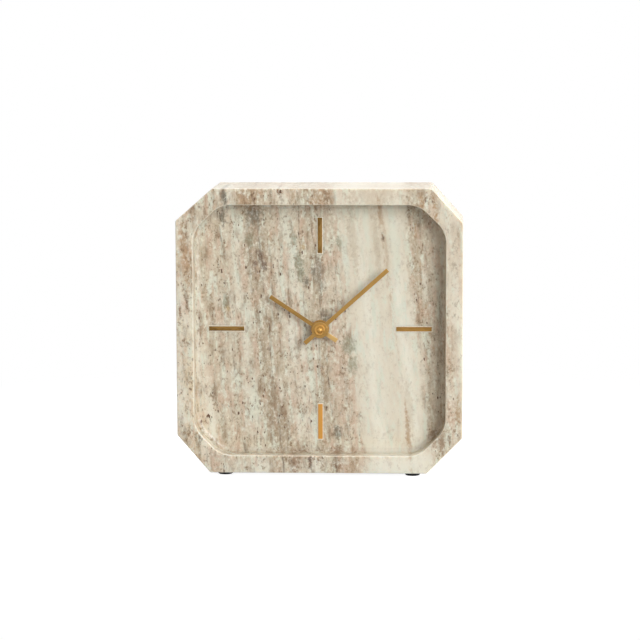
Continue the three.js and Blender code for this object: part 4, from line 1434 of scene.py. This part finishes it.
hidden_finishes = {
    "rubber_washer": rubber,
    "middle_plate": case_black,
    "control_chip": case_black,
    "hour_wheel": lathe_brass,
    "minute_arbor": lathe_brass,
    "motion_wheel": gear_white,
    "setting_shaft": gear_white,
    "centre_wheel": gear_white,
    "third_wheel": gear_white,
    "seconds_wheel": gear_white,
    "intermediate_wheel": gear_white,
    "coil_bobbin": gear_white,
    "rotor": motor_steel,
    "stator": motor_steel,
    "coil_core": motor_steel,
    "quartz_crystal": nickel,
    "coil_winding": copper_winding(),
    "circuit_board": solder_mask(),
}
for node, finish in hidden_finishes.items():
    bpy.data.objects[node].material_slots[0].material = finish
print(len(hidden_finishes), "construction nodes keep their shape")

# %% [markdown]
# ## Floor, background and lamps
# The photograph is a catalogue shot, pure white all round. A tall soft lamp stands three metres
# away on the right and throws the dial's soft shadow. A narrow one overhead brightens the top,
# and one at the far right does the same for that edge. The last lamp stands behind for views of
# the back. It is kept out of reflections, or it would glare on the top.

# %% Floor and world
FLOOR_SIZE = 30
FLOOR_FADE = (150, 400)  # between these distances in millimetres the floor turns plain white
WARM_FILL = (1.0, 0.885, 0.76, 1)


def white_floor():
    sheet = bmesh.new()
    bmesh.ops.create_grid(sheet, x_segments=1, y_segments=1, size=FLOOR_SIZE / 2)
    floor = loose_object(sheet, "studio_floor")
    white = Finish("studio_white")
    is_camera = white.node("ShaderNodeLightPath", {}, output=0)
    distance = white.length(white.place())
    white.set({"Base Color": linear(180, 180, 180), "Roughness": 0.9, "Specular IOR Level": 0.0})
    surface = Value(white, white.shader.outputs[0])
    glow = white.node("ShaderNodeEmission", {}, (1, 1, 1, 1), 0.92)
    plain = white.node("ShaderNodeEmission", {}, (1, 1, 1, 1), 1.0)
    lit = white.node("ShaderNodeAddShader", {}, surface, glow)
    seen = white.node("ShaderNodeMixShader", {}, white.rise(distance, *FLOOR_FADE), lit, plain)
    shown = white.node("ShaderNodeMixShader", {}, is_camera, surface, seen)
    white.tree.links.new(shown.socket, white.tree.nodes["Material Output"].inputs[0])
    floor.data.materials.append(white.material)
    floor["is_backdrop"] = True
    return floor


def studio_world(fill):
    """White for the camera and in reflections, and a dimmer warm white as light."""
    world = bpy.data.worlds.new("studio_world")
    bpy.context.scene.world = world
    world.use_nodes = True
    nodes = world.node_tree.nodes
    links = world.node_tree.links
    light = nodes["Background"]
    light.inputs[0].default_value = WARM_FILL
    light.inputs[1].default_value = fill
    white = nodes.new("ShaderNodeBackground")
    white.inputs[0].default_value = (1, 1, 1, 1)
    paths = nodes.new("ShaderNodeLightPath")
    sees_white = paths.outputs["Is Camera Ray"]
    for ray in ("Is Glossy Ray", "Is Transmission Ray"):
        either = nodes.new("ShaderNodeMath")
        either.operation = "MAXIMUM"
        links.new(sees_white, either.inputs[0])
        links.new(paths.outputs[ray], either.inputs[1])
        sees_white = either.outputs[0]
    choice = nodes.new("ShaderNodeMixShader")
    links.new(sees_white, choice.inputs[0])
    links.new(light.outputs[0], choice.inputs[1])
    links.new(white.outputs[0], choice.inputs[2])
    links.new(choice.outputs[0], nodes["World Output"].inputs[0])


studio_floor = white_floor()
studio_world(0.33)
bpy.context.scene.view_settings.view_transform = "Standard"

# %% Lamps
lamp_table = [
    # name, watts, colour, width, height and distance in metres, azimuth and elevation in degrees
    ("side_lamp", 88.5, (0.97, 1.0, 1.03), 1.55, 2.3, 3.0, 38, 18),
    ("top_lamp", 3.9, (0.97, 0.98, 1.05), 0.4, 0.07, 1.0, 0, 88),
    ("edge_lamp", 4.4, (1.0, 0.98, 0.96), 0.5, 0.5, 1.0, 105, 15),
    ("rear_lamp", 5.0, (1.0, 0.99, 0.97), 0.6, 0.6, 1.1, 205, 25),
]


def soft_lamp(name, power, color, width, height, distance, azimuth, elevation):
    """A rectangular area lamp that looks at the middle of the dial."""
    data = bpy.data.lights.new(name, "AREA")
    data.shape = "RECTANGLE"
    data.size = width
    data.size_y = height
    data.energy = power
    data.color = color
    lamp = bpy.data.objects.new(name, data)
    bpy.context.collection.objects.link(lamp)
    aim(lamp, dial_middle, distance, radians(azimuth), radians(elevation))
    return lamp


lamps = {row[0]: soft_lamp(*row) for row in lamp_table}
lamps["rear_lamp"].visible_glossy = False
print("lamps:", list(lamps))

# %% Compare sizes and finish
shown_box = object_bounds()
for shown, model in zip(shown_box, model_box):
    past = (Vector(shown) - Vector(model)).length / MM
    print("a corner of the clock's box is off by, mm:", round(past, 3))
